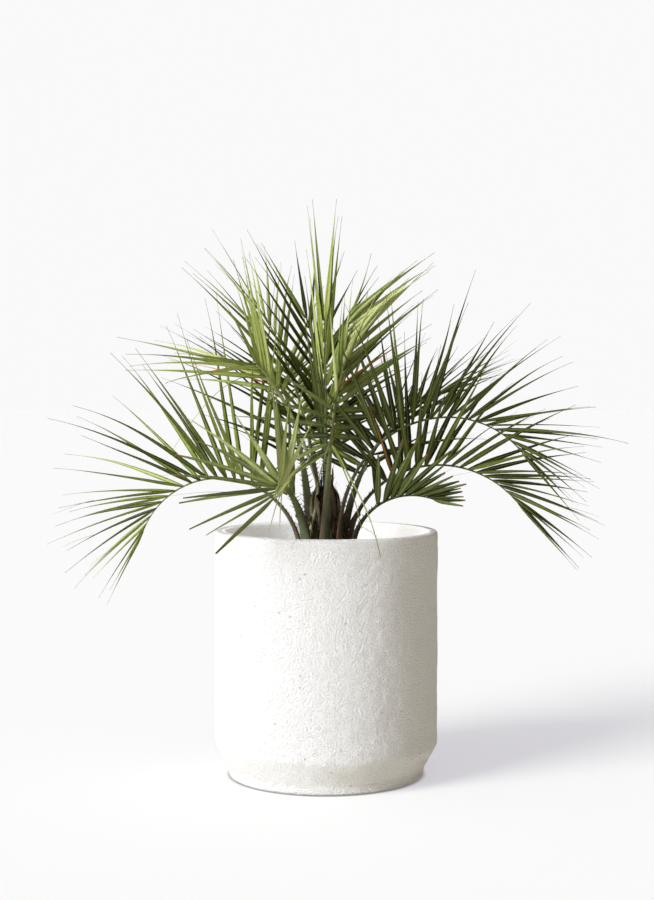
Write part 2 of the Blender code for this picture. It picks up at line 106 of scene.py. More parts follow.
# %% Node helpers
class Nodes:
    """Adds nodes to one tree. A value is a number, a colour (r, g, b) or a node's socket."""

    def __init__(self, tree):
        self.tree = tree

    def fill(self, made, inputs):
        """Sets or links the inputs of a node, and gives the node back."""
        for name, value in inputs.items():
            socket = made.inputs[name]
            if isinstance(value, bpy.types.NodeSocket):
                self.tree.links.new(value, socket)
            else:
                socket.default_value = (*value, 1.0) if socket.type == "RGBA" else value
        return made

    def add(self, kind, inputs=None, **settings):
        """A new node. Its settings are made first, because they can change its inputs."""
        made = self.tree.nodes.new("ShaderNode" + kind)
        for setting, value in settings.items():
            setattr(made, setting, value)
        return self.fill(made, inputs or {})

    def math(self, operation, *values):
        return self.add("Math", dict(enumerate(values)), operation=operation).outputs[0]

    def times(self, first, second):
        return self.math("MULTIPLY", first, second)

    def vary(self, value, pattern, amount):
        """value + amount * (pattern - 0.5)."""
        return self.math("ADD", value, self.math("MULTIPLY_ADD", pattern, amount, -amount / 2))

    def spread(self, value, low, high, to_low=0.0, to_high=1.0):
        """The value moved smoothly from the range low..high to to_low..to_high."""
        ends = {"From Min": low, "From Max": high, "To Min": to_low, "To Max": to_high}
        return self.add("MapRange", {"Value": value, **ends},
                        interpolation_type="SMOOTHSTEP").outputs["Result"]

    def mix(self, factor, first, second):
        """first * (1 - factor) + second * factor, for two colours."""
        return self.add("Mix", {0: factor, 6: first, 7: second}, data_type="RGBA").outputs[2]

    def noise(self, **inputs):
        return self.add("TexNoise", inputs).outputs["Fac"]

    def bump(self, strength, distance, height):
        given = {"Strength": strength, "Distance": distance, "Height": height}
        return self.add("Bump", given).outputs["Normal"]

    def part(self, colour, index):
        """One of the three numbers of a colour."""
        return self.add("SeparateColor", {"Color": colour}).outputs[index]

    def trait(self, name):
        return self.add("Attribute", attribute_name=name).outputs["Fac"]

    def place(self, space="Object"):
        return self.add("TexCoord").outputs[space]

    def seen(self):
        """1 for a ray that comes straight from the camera, else 0."""
        return self.add("LightPath").outputs["Is Camera Ray"]

    def stripes(self, across_scale, along_scale):
        """Lines along a piece: noise on its UV map, drawn out along u and packed along v."""
        surface = self.add("UVMap", uv_map="surface").outputs["UV"]
        scale = (along_scale, across_scale, 1.0)
        place = self.add("Mapping", {"Vector": surface, "Scale": scale}).outputs["Vector"]
        return self.add("TexNoise", {"Vector": place, "Scale": 1.0, "Detail": 2.0},
                        noise_dimensions="2D").outputs["Fac"]

    def mottle(self, scale, contrast=1.0):
        given = {"Scale": scale, "Contrast": contrast}
        return self.add("Group", given, node_tree=MOTTLE).outputs["Value"]

    def grain(self, scale, depth, pits, flatness=1.0):
        given = {"Scale": scale, "Depth": depth, "Pits": pits, "Flatness": flatness}
        return self.add("Group", given, node_tree=GRAIN).outputs


# %% [markdown]
# A finish is such a tree in a new material. The two groups below it read only the object's own
# coordinates and the few numbers that a finish gives them.

# %% Finishes and groups
class Finish(Nodes):
    """The nodes of a new material. Its Principled shader is filled at the end, by paint."""

    def __init__(self, name, specular):
        self.material = bpy.data.materials.new(name)
        self.material.use_nodes = True
        super().__init__(self.material.node_tree)
        self.specular = specular

    def paint(self, colour, roughness, normal=None, **more):
        """Fills the shader. Further inputs are named with _ for the space in their name."""
        given = {"Base Color": colour, "Roughness": roughness,
                 "Specular IOR Level": self.specular}
        if normal:
            given["Normal"] = normal
        given.update({name.replace("_", " "): value for name, value in more.items()})
        self.fill(self.tree.nodes["Principled BSDF"], given)
        return self.material


def new_group(name, inputs, outputs):
    """An empty node group with float inputs {name: value} and outputs {name: socket type}."""
    tree = bpy.data.node_groups.new(name, "ShaderNodeTree")
    for label, value in inputs.items():
        socket = tree.interface.new_socket(label, in_out="INPUT", socket_type="NodeSocketFloat")
        socket.default_value = value
    for label, kind in outputs.items():
        tree.interface.new_socket(label, in_out="OUTPUT", socket_type=kind)
    given, out = tree.nodes.new("NodeGroupInput").outputs, tree.nodes.new("NodeGroupOutput")
    return Nodes(tree), given, out


def make_mottle():
    """Two layers of noise, one four times finer, added into one value about 0.5."""
    m, given, out = new_group(
        "mottle", {"Scale": 20.0, "Contrast": 1.0}, {"Value": "NodeSocketFloat"})
    place = m.place()
    coarse = m.noise(Vector=place, Scale=given["Scale"], Detail=3.0, Roughness=0.55)
    fine = m.noise(Vector=place, Scale=m.times(given["Scale"], 4.3), Detail=2.0)
    both = m.math("MULTIPLY_ADD", fine, 0.4, m.times(coarse, 0.6))
    centred = m.math("SUBTRACT", both, 0.5)
    m.fill(out, {"Value": m.math("MULTIPLY_ADD", centred, given["Contrast"], 0.5)})
    return m.tree


def make_grain():
    """Lumps of noise, and pits where the nearest of scattered points is close. Pits is the
    share of those points that have one. Flatness above 1 makes the lumps wide and low."""
    m, given, out = new_group(
        "grain", {"Scale": 500.0, "Depth": 0.0004, "Pits": 0.3, "Flatness": 1.0},
        {"Normal": "NodeSocketVector", "Height": "NodeSocketFloat", "Pit mask": "NodeSocketFloat"})
    squeeze = m.add("CombineXYZ", {"X": 1.0, "Y": 1.0, "Z": given["Flatness"]}).outputs["Vector"]
    place = m.add("VectorMath", {0: m.place(), 1: squeeze}, operation="MULTIPLY").outputs["Vector"]
    lumps = m.noise(Vector=place, Scale=given["Scale"], Detail=3.0, Roughness=0.62)
    cells = m.add("TexVoronoi", {"Vector": place, "Scale": m.times(given["Scale"], 0.42)}).outputs
    pit = m.spread(cells["Distance"], 0.20, 0.34, 1.0, 0.0)
    mask = m.times(pit, m.math("LESS_THAN", m.part(cells["Color"], 0), given["Pits"]))
    height = m.math("SUBTRACT", lumps, m.times(mask, 0.5))
    m.fill(out, {"Normal": m.bump(1.0, given["Depth"], height), "Height": height,
                 "Pit mask": mask})
    return m.tree


MOTTLE = make_mottle()
GRAIN = make_grain()
print("groups:", [group.name for group in bpy.data.node_groups])

# %% [markdown]
# ## Light and floor
#
# The plant stands in a white studio. The key comes from the left and front, at thirty degrees
# up, so the planter is brightest on its left and throws a soft shadow to the right and back. A
# broad, level light from the same side brightens the upright surfaces but hardly the floor, and
# a wide one from above lifts the shadow. The sky is brighter on the left too. Suns are used and
# not lamps, because a sun lights the whole floor evenly. The floor's paint is yellowish and its
# glow bluish: in the light they add up to white, and in the shadow the blue remains. To the
# camera the glow makes the floor meet the background with no line between them; to all other
# rays it is the bounce from below. Under the edge of the foot a ring darkens both.

# %% Light and floor
# Each sun: where it comes from, its strength, how wide it is in degrees, its colour.
SUNS = {
    "key_light": ((-0.688, -0.518, 0.508), 3.95, 26, (0.93, 0.965, 1.04)),
    "side_light": ((-0.84, -0.52, 0.08), 1.50, 50, (0.96, 0.98, 1.0)),
    "top_light": ((0.0, -0.10, 1.0), 0.60, 70, (0.98, 0.985, 1.0)),
}
SKY_DIM = (0.225, 0.178, 0.125)
SKY_BRIGHT = (0.34, 0.35, 0.36)
SKY_BRIGHT_FROM = (-0.80, -0.45, 0.30)
BACKGROUND_WHITE = (0.950, 0.951, 0.955)
FLOOR_HALF = 30.0
FLOOR_WHITE = (0.435, 0.430, 0.360)
FLOOR_GLOW = (0.471, 0.471, 0.541)
FLOOR_BOUNCE = (0.450, 0.412, 0.376)
CONTACT_RADII = (0.134, 0.147)
CONTACT_SHADE = 0.25


def sun(name, comes_from, strength, spread, colour):
    """A sun lamp shines along its own -Z, so the lamp is turned until its +Z points to where
    the light comes from: tilted by the angle from the vertical, then turned about Z."""
    data = bpy.data.lights.new(name, "SUN")
    data.energy = strength
    data.angle = math.radians(spread)
    data.color = colour
    lamp = bpy.data.objects.new(name, data)
    away = np.array(comes_from) / np.linalg.norm(comes_from)
    lamp.rotation_euler = (math.acos(away[2]), 0.0, math.atan2(away[0], -away[1]))
    scene.collection.objects.link(lamp)


def studio_world():
    """The camera sees one plain white. The plant is lit by a sky that is brighter on one side:
    the share is the smooth step of the dot product of the ray with the bright direction."""
    world = bpy.data.worlds.new("studio")
    world.use_nodes = True
    m = Nodes(world.node_tree)
    side = m.add("VectorMath", {0: m.place("Generated"), 1: SKY_BRIGHT_FROM},
                 operation="DOT_PRODUCT").outputs["Value"]
    tint = m.mix(m.spread(side, -0.5, 1.0), SKY_DIM, SKY_BRIGHT)
    sky = m.fill(m.tree.nodes["Background"], {"Color": tint}).outputs[0]
    backdrop = m.add("Background", {"Color": BACKGROUND_WHITE}).outputs[0]
    choose = m.add("MixShader", {0: m.seen(), 1: sky, 2: backdrop}).outputs[0]
    m.fill(m.tree.nodes["World Output"], {"Surface": choose})
    return world


def studio_floor():
    """One square. The contact value is CONTACT_SHADE inside the ring and 1 outside it."""
    m = Finish("floor_paint", specular=0.0)
    distance = m.add("VectorMath", {0: m.place()}, operation="LENGTH").outputs["Value"]
    contact = m.spread(distance, *CONTACT_RADII, CONTACT_SHADE, 1.0)
    paint = m.paint(m.mix(contact, (0.0, 0.0, 0.0), FLOOR_WHITE), 1.0, Emission_Strength=contact,
                    Emission_Color=m.mix(m.seen(), FLOOR_BOUNCE, FLOOR_GLOW))
    mesh = bpy.data.meshes.new("floor")
    corners = ((-1, -1), (1, -1), (1, 1), (-1, 1))
    mesh.from_pydata([(FLOOR_HALF * x, FLOOR_HALF * y, 0) for x, y in corners], [], [(0, 1, 2, 3)])
    mesh.materials.append(paint)
    floor = bpy.data.objects.new("floor", mesh)
    scene.collection.objects.link(floor)


for name, settings in SUNS.items():
    sun(name, *settings)
scene.world = studio_world()
scene.view_settings.view_transform = "Standard"
studio_floor()
print("lights:", list(SUNS))

# %% [markdown]
# ## Surfaces from arrays
#
# All shapes are worked out with whole arrays of points, and a few formulas come back in them:
# directions, soft steps, points on circles, and a smooth noise that makes cast and grown
# surfaces uneven.

# %% Formulas
HASH_PRIMES = (73856093, 19349663, 83492791)
NOISE_VALUES = 4096


def unit(vectors):
    """Each vector divided by its length."""
    return vectors / np.maximum(np.linalg.norm(vectors, axis=-1, keepdims=True), 1e-12)


def smooth_step(values, low, high):
    """0 below low, 1 above high, and t*t*(3 - 2*t) in between."""
    t = np.clip((values - low) / (high - low), 0.0, 1.0)
    return t * t * (3.0 - 2.0 * t)


def polar(radius, angle, height=0.0):
    """The points (radius * cos(angle), radius * sin(angle), height)."""
    return np.stack(np.broadcast_arrays(
        radius * np.cos(angle), radius * np.sin(angle), height), axis=-1)


def circle(one, two, sides):
    """cos(a) * one + sin(a) * two for so many equal steps of a, on a new axis before xyz."""
    angle = 2 * np.pi * np.arange(sides)[:, None] / sides
    return np.cos(angle) * one[..., None, :] + np.sin(angle) * two[..., None, :]


def lattice_noise(points, cell, seed):
    """Smooth noise from -1 to 1: a random value sits on each corner of a lattice of cubes, and
    inside a cube the eight values are blended with s*s*(3 - 2*s) on each axis."""
    table = np.random.default_rng(seed).uniform(-1.0, 1.0, NOISE_VALUES)
    place = points / cell
    corner = np.floor(place).astype(np.int64)
    share = smooth_step(place - corner, 0.0, 1.0)
    total = np.zeros(points.shape[:-1])
    for step in np.ndindex(2, 2, 2):
        hashed = (corner + step) * HASH_PRIMES
        index = np.bitwise_xor.reduce(hashed, axis=-1) % NOISE_VALUES
        total += table[index] * np.prod(np.where(step, share, 1.0 - share), axis=-1)
    return total


# %% [markdown]
# Every shape is a grid of points: rows along the piece, and a ring of points round it. The faces
# follow from the numbering alone. A shape also carries values for its material, such as how far
# along a leaflet a point is.

# %% Shapes
TRAITS = ("along", "across", "upper", "tone", "dry", "tip", "inside")


def tube_faces(count, rows, ring):
    """Faces of many tubes: point (i, r, k) is number (i * rows + r) * ring + k.

    A quad joins rows r and r + 1 and places k and k + 1, and one face closes each end. The ring
    runs anticlockwise about the way the rows go, which makes the faces point outwards.
    """
    tube = np.arange(count)[:, None, None] * rows * ring
    row = np.arange(rows - 1)[None, :, None] * ring
    place = np.arange(ring)[None, None, :]
    low, low_next = tube + row + place, tube + row + (place + 1) % ring
    quads = np.stack([low, low_next, low_next + ring, low + ring], axis=-1).reshape(-1, 4)
    starts = tube[:, 0] + np.arange(ring)[::-1]
    ends = tube[:, 0] + (rows - 1) * ring + np.arange(ring)
    return quads.tolist() + starts.tolist() + ends.tolist()


def tubes(points, paint=0, uv=(0.0, 0.0), **traits):
    """A shape of tubes from points (tube, row, ring place, xyz). The values of u, of v and of
    each trait are stretched over the same grid."""
    def filled(values):
        return np.broadcast_to(np.asarray(values, float), points.shape[:3]).reshape(-1)
    return dict(points=points.reshape(-1, 3), faces=tube_faces(*points.shape[:3]), paint=paint,
                uv=np.stack([filled(values) for values in uv], axis=1),
                traits={name: filled(traits.get(name, 0.0)) for name in TRAITS})


def turned(section, columns, **traits):
    """A shape turned about Z from a line of points (radius, height) that starts and ends at
    radius 0. Those two ends are poles, each one point joined to its ring by triangles."""
    radius, height = np.array(section).T
    place = np.arange(columns)
    rings = polar(radius[1:-1, None], 2 * np.pi * place / columns, height[1:-1, None])
    points = np.concatenate([rings.reshape(-1, 3), [[0, 0, height[0]], [0, 0, height[-1]]]])
    following, last = (place + 1) % columns, len(points) - 2 - columns
    pole = np.full(columns, len(points) - 2)
    fans = np.concatenate([np.stack([pole, following, place], axis=1),
                           np.stack([place + last, following + last, pole + 1], axis=1)])
    return dict(points=points, faces=tube_faces(1, len(rings), columns)[:-2] + fans.tolist(),
                paint=0, uv=np.zeros((len(points), 2)),
                traits={name: np.full(len(points), traits.get(name, 0.0)) for name in TRAITS})


# %% [markdown]
# Several shapes are joined into one piece, and each finished piece rides on the frame's body and
# hides the solids it stands for.

# %% Pieces
def piece_from(name, shapes, materials):
    """One object from several shapes, at the origin, smooth, with its traits and UV map."""
    faces, paints, start = [], [], 0
    for shape in shapes:
        faces += [[corner + start for corner in face] for face in shape["faces"]]
        paints += [shape["paint"]] * len(shape["faces"])
        start += len(shape["points"])
    mesh = bpy.data.meshes.new(name)
    mesh.from_pydata(np.concatenate([shape["points"] for shape in shapes]), [], faces)
    mesh.polygons.foreach_set("material_index", paints)
    mesh.shade_smooth()
    for trait in TRAITS:
        values = np.concatenate([shape["traits"][trait] for shape in shapes]).astype(np.float32)
        if values.any():
            mesh.attributes.new(trait, "FLOAT", "POINT").data.foreach_set("value", values)
    corners = np.zeros(len(mesh.loops), np.int32)
    mesh.loops.foreach_get("vertex_index", corners)
    uv = np.concatenate([shape["uv"] for shape in shapes]).astype(np.float32)[corners]
    mesh.uv_layers.new(name="surface").data.foreach_set("uv", uv.ravel())
    for material in materials:
        mesh.materials.append(material)
    piece = bpy.data.objects.new(name, mesh)
    scene.collection.objects.link(piece)
    return piece


def settle(piece, slot, *nodes):
    """Makes a finished piece ride on the one body and stand for its solids. Its slot is not used.
    """
    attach(piece, "root")
    if nodes:
        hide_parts(*nodes)
    print(f"{piece.name}: {len(piece.data.polygons)} faces")


# %% [markdown]
# ## The planter's finish
#
# The real planter is cast from a mineral mix in a rough mould. Seen close, its matt, warm white
# skin is covered in grains of one to three millimetres with a few small pits between them. The
# colour hardly changes; what shows is the light on the grains, so the grain is a bump, and only
# its coarser waves are modelled in the mesh. Hollows and pits are a little darker, as painted
# shade. The top of the inner wall glows to the camera, by its trait *inside*, in place of the
# light that a white room would throw into it.

# %% Planter finish
STUCCO_WHITE = (0.970, 0.958, 0.945)
STUCCO_SHADE = (0.925, 0.910, 0.893)
STUCCO_HOLLOW_SHADE = (0.865, 0.842, 0.815)
STUCCO_PIT_SHADE = (0.74, 0.705, 0.66)
INSIDE_COLOUR = (1.0, 0.97, 0.93)
INSIDE_GLOW = 0.70


def stucco_finish():
    """White with soft patches, and painted shade in the hollows of the grain and in its pits."""
    m = Finish("planter_stucco", specular=0.25)
    fine = m.grain(345.0, 0.0066, 0.02, flatness=1.5)
    colour = m.mix(m.mottle(28.0, 1.4), STUCCO_SHADE, STUCCO_WHITE)
    # Painted shade: the hollows of the grain and its pits are darkened.
    hollow_shade = m.mix(0.85, colour, STUCCO_HOLLOW_SHADE)
    colour = m.mix(m.spread(fine["Height"], 0.30, 0.62), hollow_shade, colour)
    colour = m.mix(m.times(fine["Pit mask"], 0.7), colour, STUCCO_PIT_SHADE)
    rough = m.spread(fine["Height"], 0.2, 0.8, 0.95, 0.78)
    glow = m.times(m.times(m.seen(), m.trait("inside")), INSIDE_GLOW)
    return m.paint(colour, rough, fine["Normal"], Emission_Color=INSIDE_COLOUR,
                   Emission_Strength=glow)


STUCCO = stucco_finish()
print("finish:", STUCCO.name)

# %% [markdown]
# ## The planter
#
# Its section is a line that starts under the middle of the base, runs out to the foot with its
# well rounded lower edge, up the chamfer and the wall, over the thin rounded rim and down the
# inside to the floor. Turning that line about Z makes the pot. Casting leaves the wall slightly
# uneven, so each point then moves sideways by slow waves of a few centimetres and by lumps of a
# few millimetres.

# %% Planter section
POT_RADIUS, _, POT_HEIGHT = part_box("planter")[1]
POT_WALL = 0.018
POT_FLOOR = 0.022
INNER_RADIUS = POT_RADIUS - POT_WALL
RIM_MIDDLE = (POT_RADIUS - POT_WALL / 2, POT_HEIGHT)
FOOT_RADIUS = 0.1405
FOOT_HEIGHT = 0.0115
FOOT_ROUND = 0.010
CHAMFER_TOP = 0.047
INNER_CHAMFER_TOP = 0.055
INNER_FLOOR_RADIUS = 0.124
RIM_ROUND = 0.007
CORNER_ROUND = 0.004
SEEN_SPACING = 0.0026
HIDDEN_SPACING = 0.009


def rounded(corners, radii, spacing, arc_steps=5):
    """Points along a line of corners. At each inner corner the line leaves the straight at the
    given distance and follows (1-t)^2 * start + 2*t*(1-t) * corner + t^2 * end. The points are
    then filled up until no two are further apart than about the spacing."""
    corners = np.array(corners)
    points = [corners[0]]
    for i, corner in enumerate(corners[1:-1], 1):
        before, after = corners[i - 1] - corner, corners[i + 1] - corner
        reach = min(radii[i], np.linalg.norm(before) / 2.01, np.linalg.norm(after) / 2.01)
        start, end = corner + unit(before) * reach, corner + unit(after) * reach
        t = np.linspace(0.0, 1.0, arc_steps)[:, None]
        points += list((1 - t) ** 2 * start + 2 * t * (1 - t) * corner + t ** 2 * end)
    points.append(corners[-1])
    line = [points[0]]
    for start, end in zip(points[:-1], points[1:]):
        pieces = max(1, int(np.linalg.norm(end - start) / spacing))
        line += [start + (end - start) * (k + 1) / pieces for k in range(pieces)]
    return np.array(line)


def planter_section():
    """Points (radius, height), close together where they can be seen and wider inside."""
    outside = rounded([(0.0, 0.0), (FOOT_RADIUS, 0.0), (FOOT_RADIUS, FOOT_HEIGHT),
                       (POT_RADIUS, CHAMFER_TOP), (POT_RADIUS, POT_HEIGHT), RIM_MIDDLE],
                      (0, FOOT_ROUND, CORNER_ROUND, CORNER_ROUND, RIM_ROUND, 0), SEEN_SPACING)
    inside = rounded([RIM_MIDDLE, (INNER_RADIUS, POT_HEIGHT), (INNER_RADIUS, INNER_CHAMFER_TOP),
                      (INNER_FLOOR_RADIUS, POT_FLOOR), (0.0, POT_FLOOR)],
                     (0, RIM_ROUND, CORNER_ROUND, CORNER_ROUND, 0), HIDDEN_SPACING)
    under = [(radius, 0.0) for radius in np.linspace(0.0, FOOT_RADIUS - FOOT_ROUND, 12)]
    return np.concatenate([under, outside[outside[:, 1] > 0.0], inside[1:]])


SECTION = planter_section()
print("section:", len(SECTION), "points")

# %% [markdown]
# The lumps are two layers of noise, the waves one. A bump alone would leave the outline of the
# wall perfectly smooth, so here the points themselves move. Three drain holes could be drawn
# into the section's grid, but a Boolean cuts them clean and leaves the rest as it is.

# %% Planter
POT_COLUMNS = 440
WAVE_DEPTH = 0.0007
LUMP_DEPTH = 0.00042
LUMP_FLATNESS = (1.0, 1.0, 1.4)
MOST_SWELL = 0.0008
DRAIN_HOLES = 3
HOLE_RADIUS = 0.010
HOLE_RING_RADIUS = 0.060


def cut_drain_holes(planter):
    """Cuts round holes through the floor, evenly spaced on a ring, and keeps the result."""
    cutters = []
    for i in range(DRAIN_HOLES):
        shape = turned([(0.0, -0.02), (HOLE_RADIUS, -0.02), (HOLE_RADIUS, 0.05), (0.0, 0.05)], 40)
        shape["points"] += polar(HOLE_RING_RADIUS, 2 * math.pi * (i + 0.25) / DRAIN_HOLES)
        cutters.append(piece_from(f"cutter_{i}", [shape], [STUCCO]))
        cut = planter.modifiers.new(f"drain_{i}", "BOOLEAN")
        cut.operation, cut.solver, cut.object = "DIFFERENCE", "MANIFOLD", cutters[-1]
    whole, depsgraph = planter.data, bpy.context.evaluated_depsgraph_get()
    drilled = bpy.data.meshes.new_from_object(planter.evaluated_get(depsgraph))
    planter.modifiers.clear()
    planter.data = drilled
    drilled.name = planter.name
    bpy.data.meshes.remove(whole)
    for cutter in cutters:
        bpy.data.objects.remove(cutter, do_unlink=True)


def make_planter():
    """The turned section, roughened. Both sides of the wall take the same waves, so it keeps
    its thickness, and the base stays flat. The glow inside fades downwards and to the left."""
    shape = turned(SECTION, POT_COLUMNS)
    points = shape["points"]
    x, y, z = points.T
    radius = np.hypot(x, y)
    inside = radius < POT_RADIUS - POT_WALL / 2
    on_wall = smooth_step(z, 0.0005, 0.006) * (radius > INNER_FLOOR_RADIUS)
    facing = 0.55 + 0.45 * smooth_step(x, -0.10, 0.06)
    shape["traits"]["inside"] = inside * facing * smooth_step(
        z, POT_HEIGHT - 0.075, POT_HEIGHT - 0.025)
    squeezed = points * LUMP_FLATNESS
    lumps = lattice_noise(squeezed, 0.0095, 2) + 0.8 * lattice_noise(squeezed, 0.0055, 3)
    swell = lattice_noise(points, 0.045, 1) * WAVE_DEPTH + lumps * LUMP_DEPTH
    shift = np.minimum(np.where(inside, -swell, swell) * on_wall, MOST_SWELL)
    shape["points"] = points + unit(points * (1, 1, 0)) * shift[:, None]
    planter = piece_from("planter_cast", [shape], [STUCCO])
    cut_drain_holes(planter)
    settle(planter, "planter_stucco", "planter")


make_planter()

# %% [markdown]
# ## What lies inside the planter
#
# A woven net keeps the pumice gravel off the drain holes, the gravel drains the roots, and the
# potting mix fills the planter to a few centimetres below its rim. The net is real strands that
# pass over and under each other. The gravel stays the plain solid, with a finish of stones,
# because nothing but its outer face could ever be seen.

# %% Finishes of net and gravel
def net_finish():
    """Black plastic, a little dusty in patches."""
    m = Finish("black_strand", specular=0.4)
    return m.paint(m.mix(m.mottle(160.0, 1.5), (0.012, 0.012, 0.013), (0.035, 0.035, 0.037)), 0.55)


def gravel_finish():
    """Rounded stones from the distance to the nearest of scattered points, each stone with a
    colour of its own, and painted shade, nearly black, in the gaps between them."""
    m = Finish("pumice_stones", specular=0.2)
    stones = m.add("TexVoronoi", {"Vector": m.place(), "Scale": 120.0}).outputs
    colour = m.mix(m.part(stones["Color"], 0), (0.30, 0.23, 0.17), (0.56, 0.50, 0.42))
    colour = m.mix(m.mottle(300.0, 1.3), m.mix(0.5, colour, (0.12, 0.09, 0.07)), colour)
    # Painted shade: the gaps between the stones are nearly black.
    between = m.spread(stones["Distance"], 0.45, 0.75)
    height = m.times(stones["Distance"], -1.0)
    return m.paint(m.mix(between, colour, (0.05, 0.038, 0.03)), 0.9, m.bump(1.0, 0.005, height))


NET = net_finish()
GRAVEL = gravel_finish()
gravel = frame["nodes"]["drainage_gravel"]
gravel.material_slots[0].material = GRAVEL
print("finishes:", GRAVEL.name, NET.name)

# %% [markdown]
# The real net is woven plastic. A plane with a painted grid would do from far away; strands
# that swing about the same level, half a turn apart, truly weave and still cost few faces.

# %% Drainage net
NET_PITCH = 0.0055
STRAND_RADIUS = 0.00032


def make_net():
    """Strands both ways. Strand i lies at i * pitch and its height is a cosine that turns over
    once in two pitches; neighbours and the crossing strands are half a turn apart."""
    low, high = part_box("drainage_net")
    middle, radius = (low.z + high.z) / 2, high.x - 0.001
    count = int(2 * radius / NET_PITCH)
    offset = (np.arange(count)[:, None] - (count - 1) / 2) * NET_PITCH
    half = np.sqrt(np.maximum(radius ** 2 - offset ** 2, 1e-6))
    along = np.linspace(-1.0, 1.0, 132) * half
    lift = STRAND_RADIUS * 1.1 * np.cos(
        np.pi * (along / NET_PITCH + np.arange(count)[:, None]))
    angle = np.pi * (0.25 + 0.5 * np.arange(4))
    section = STRAND_RADIUS * np.stack([np.zeros(4), np.cos(angle), np.sin(angle)], axis=-1)
    shapes = []
    for side in (1, -1):
        centre = np.stack(np.broadcast_arrays(along, offset, middle + side * lift), axis=-1)
        ring = centre[:, :, None] + section
        if side < 0:
            ring = ring[..., (1, 0, 2)] * (-1, 1, 1)
        shapes.append(tubes(ring))
    net = piece_from("drainage_net_woven", shapes, [NET])
    settle(net, "drainage_net", "drainage_net")


make_net()

# %% [markdown]
# ## Potting mix
#
# Potting mix is peat, bark and a little pumice. Its surface is a disc of lumps on several
# scales, higher round the stem and lower where it meets the wall. Loose crumbs, bark chips and
# pale pumice grains lie on it: each is a small block with rounded, pushed-in corners, turned at
# random. A few dozen faces are enough for one, because there are hundreds.

# %% Finishes of the potting mix
def soil_finish(name, dark, light, scale):
    """Patches from dark to light, and painted shade, nearly black, in the hollows of a coarse
    grain.
    """
    m = Finish(name, specular=0.15)
    fine = m.grain(scale, 0.0016, 0.3)
    colour = m.mix(m.mottle(90.0, 1.8), dark, light)
    # Painted shade: the hollows of the grain go nearly black.
    hollow_shade = m.mix(0.6, colour, (0.008, 0.005, 0.004))
    colour = m.mix(m.spread(fine["Height"], 0.25, 0.60), hollow_shade, colour)
    return m.paint(colour, 0.95, fine["Normal"])


SOIL = soil_finish("potting_mix", (0.022, 0.013, 0.008), (0.075, 0.048, 0.030), 420.0)
BARK = soil_finish("bark_chip", (0.045, 0.022, 0.012), (0.16, 0.085, 0.045), 300.0)
PUMICE = soil_finish("pumice_grain", (0.30, 0.26, 0.21), (0.58, 0.53, 0.46), 500.0)
print("finishes:", SOIL.name, BARK.name, PUMICE.name)

# %% [markdown]
# The ground could be sculpted by hand. A formula for its height serves the bed and everything
# that lies on it alike, so that nothing floats or sinks.

# %% Potting mix
SOIL_TOP = 0.307
SOIL_GAP = 0.0012
CROWN_RADIUS = 0.036
# The loose things: how many, their size, how flat they are, a seed and a finish.
LOOSE = {
    "soil_crumbs": (900, 0.0019, 0.8, 21, SOIL),
    "bark_chips": (420, 0.0042, 0.35, 22, BARK),
    "pumice_grains": (160, 0.0021, 0.8, 23, PUMICE),
}


def soil_height(x, y):
    """The height of the soil at a place: a level, a mound round the stem, and three layers of
    noise whose lumps are 24, 9 and 4 mm wide."""
    radius, flat = np.hypot(x, y), np.stack([x, y, np.zeros_like(x)], axis=-1)
    lumps = sum(depth * lattice_noise(flat, cell, seed) for depth, cell, seed in (
        (0.0022, 0.024, 11), (0.0012, 0.009, 12), (0.0008, 0.004, 13)))
    mound = 0.006 * np.exp(-((radius - 0.05) / 0.022) ** 2)
    return SOIL_TOP - 0.002 + mound + lumps - 0.003 * smooth_step(radius, 0.125, 0.141)


def make_soil():
    """A turned body with a socket for the stem, whose top points take the soil's height."""
    low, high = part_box("potting_soil")
    outer = high.x - SOIL_GAP
    socket, socket_low = CROWN_RADIUS + 0.0008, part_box("palm_stem")[0].z - 0.0006
    section = [(0.0, low.z), (outer * 0.5, low.z), (outer, low.z)]
    section += [(outer, z) for z in np.linspace(low.z + 0.02, SOIL_TOP - 0.012, 10)]
    section += [(r, SOIL_TOP) for r in np.linspace(outer - 0.002, socket + 0.001, 62)]
    section += [(socket, SOIL_TOP - 0.008), (socket, socket_low), (0.0, socket_low)]
    shape = turned(section, 260)
    points = shape["points"]
    on_top = points[:, 2] > SOIL_TOP - 0.001
    points[on_top, 2] = soil_height(points[on_top, 0], points[on_top, 1])
    soil = piece_from("potting_mix_bed", [shape], [SOIL])
    settle(soil, "potting_soil", "potting_soil")


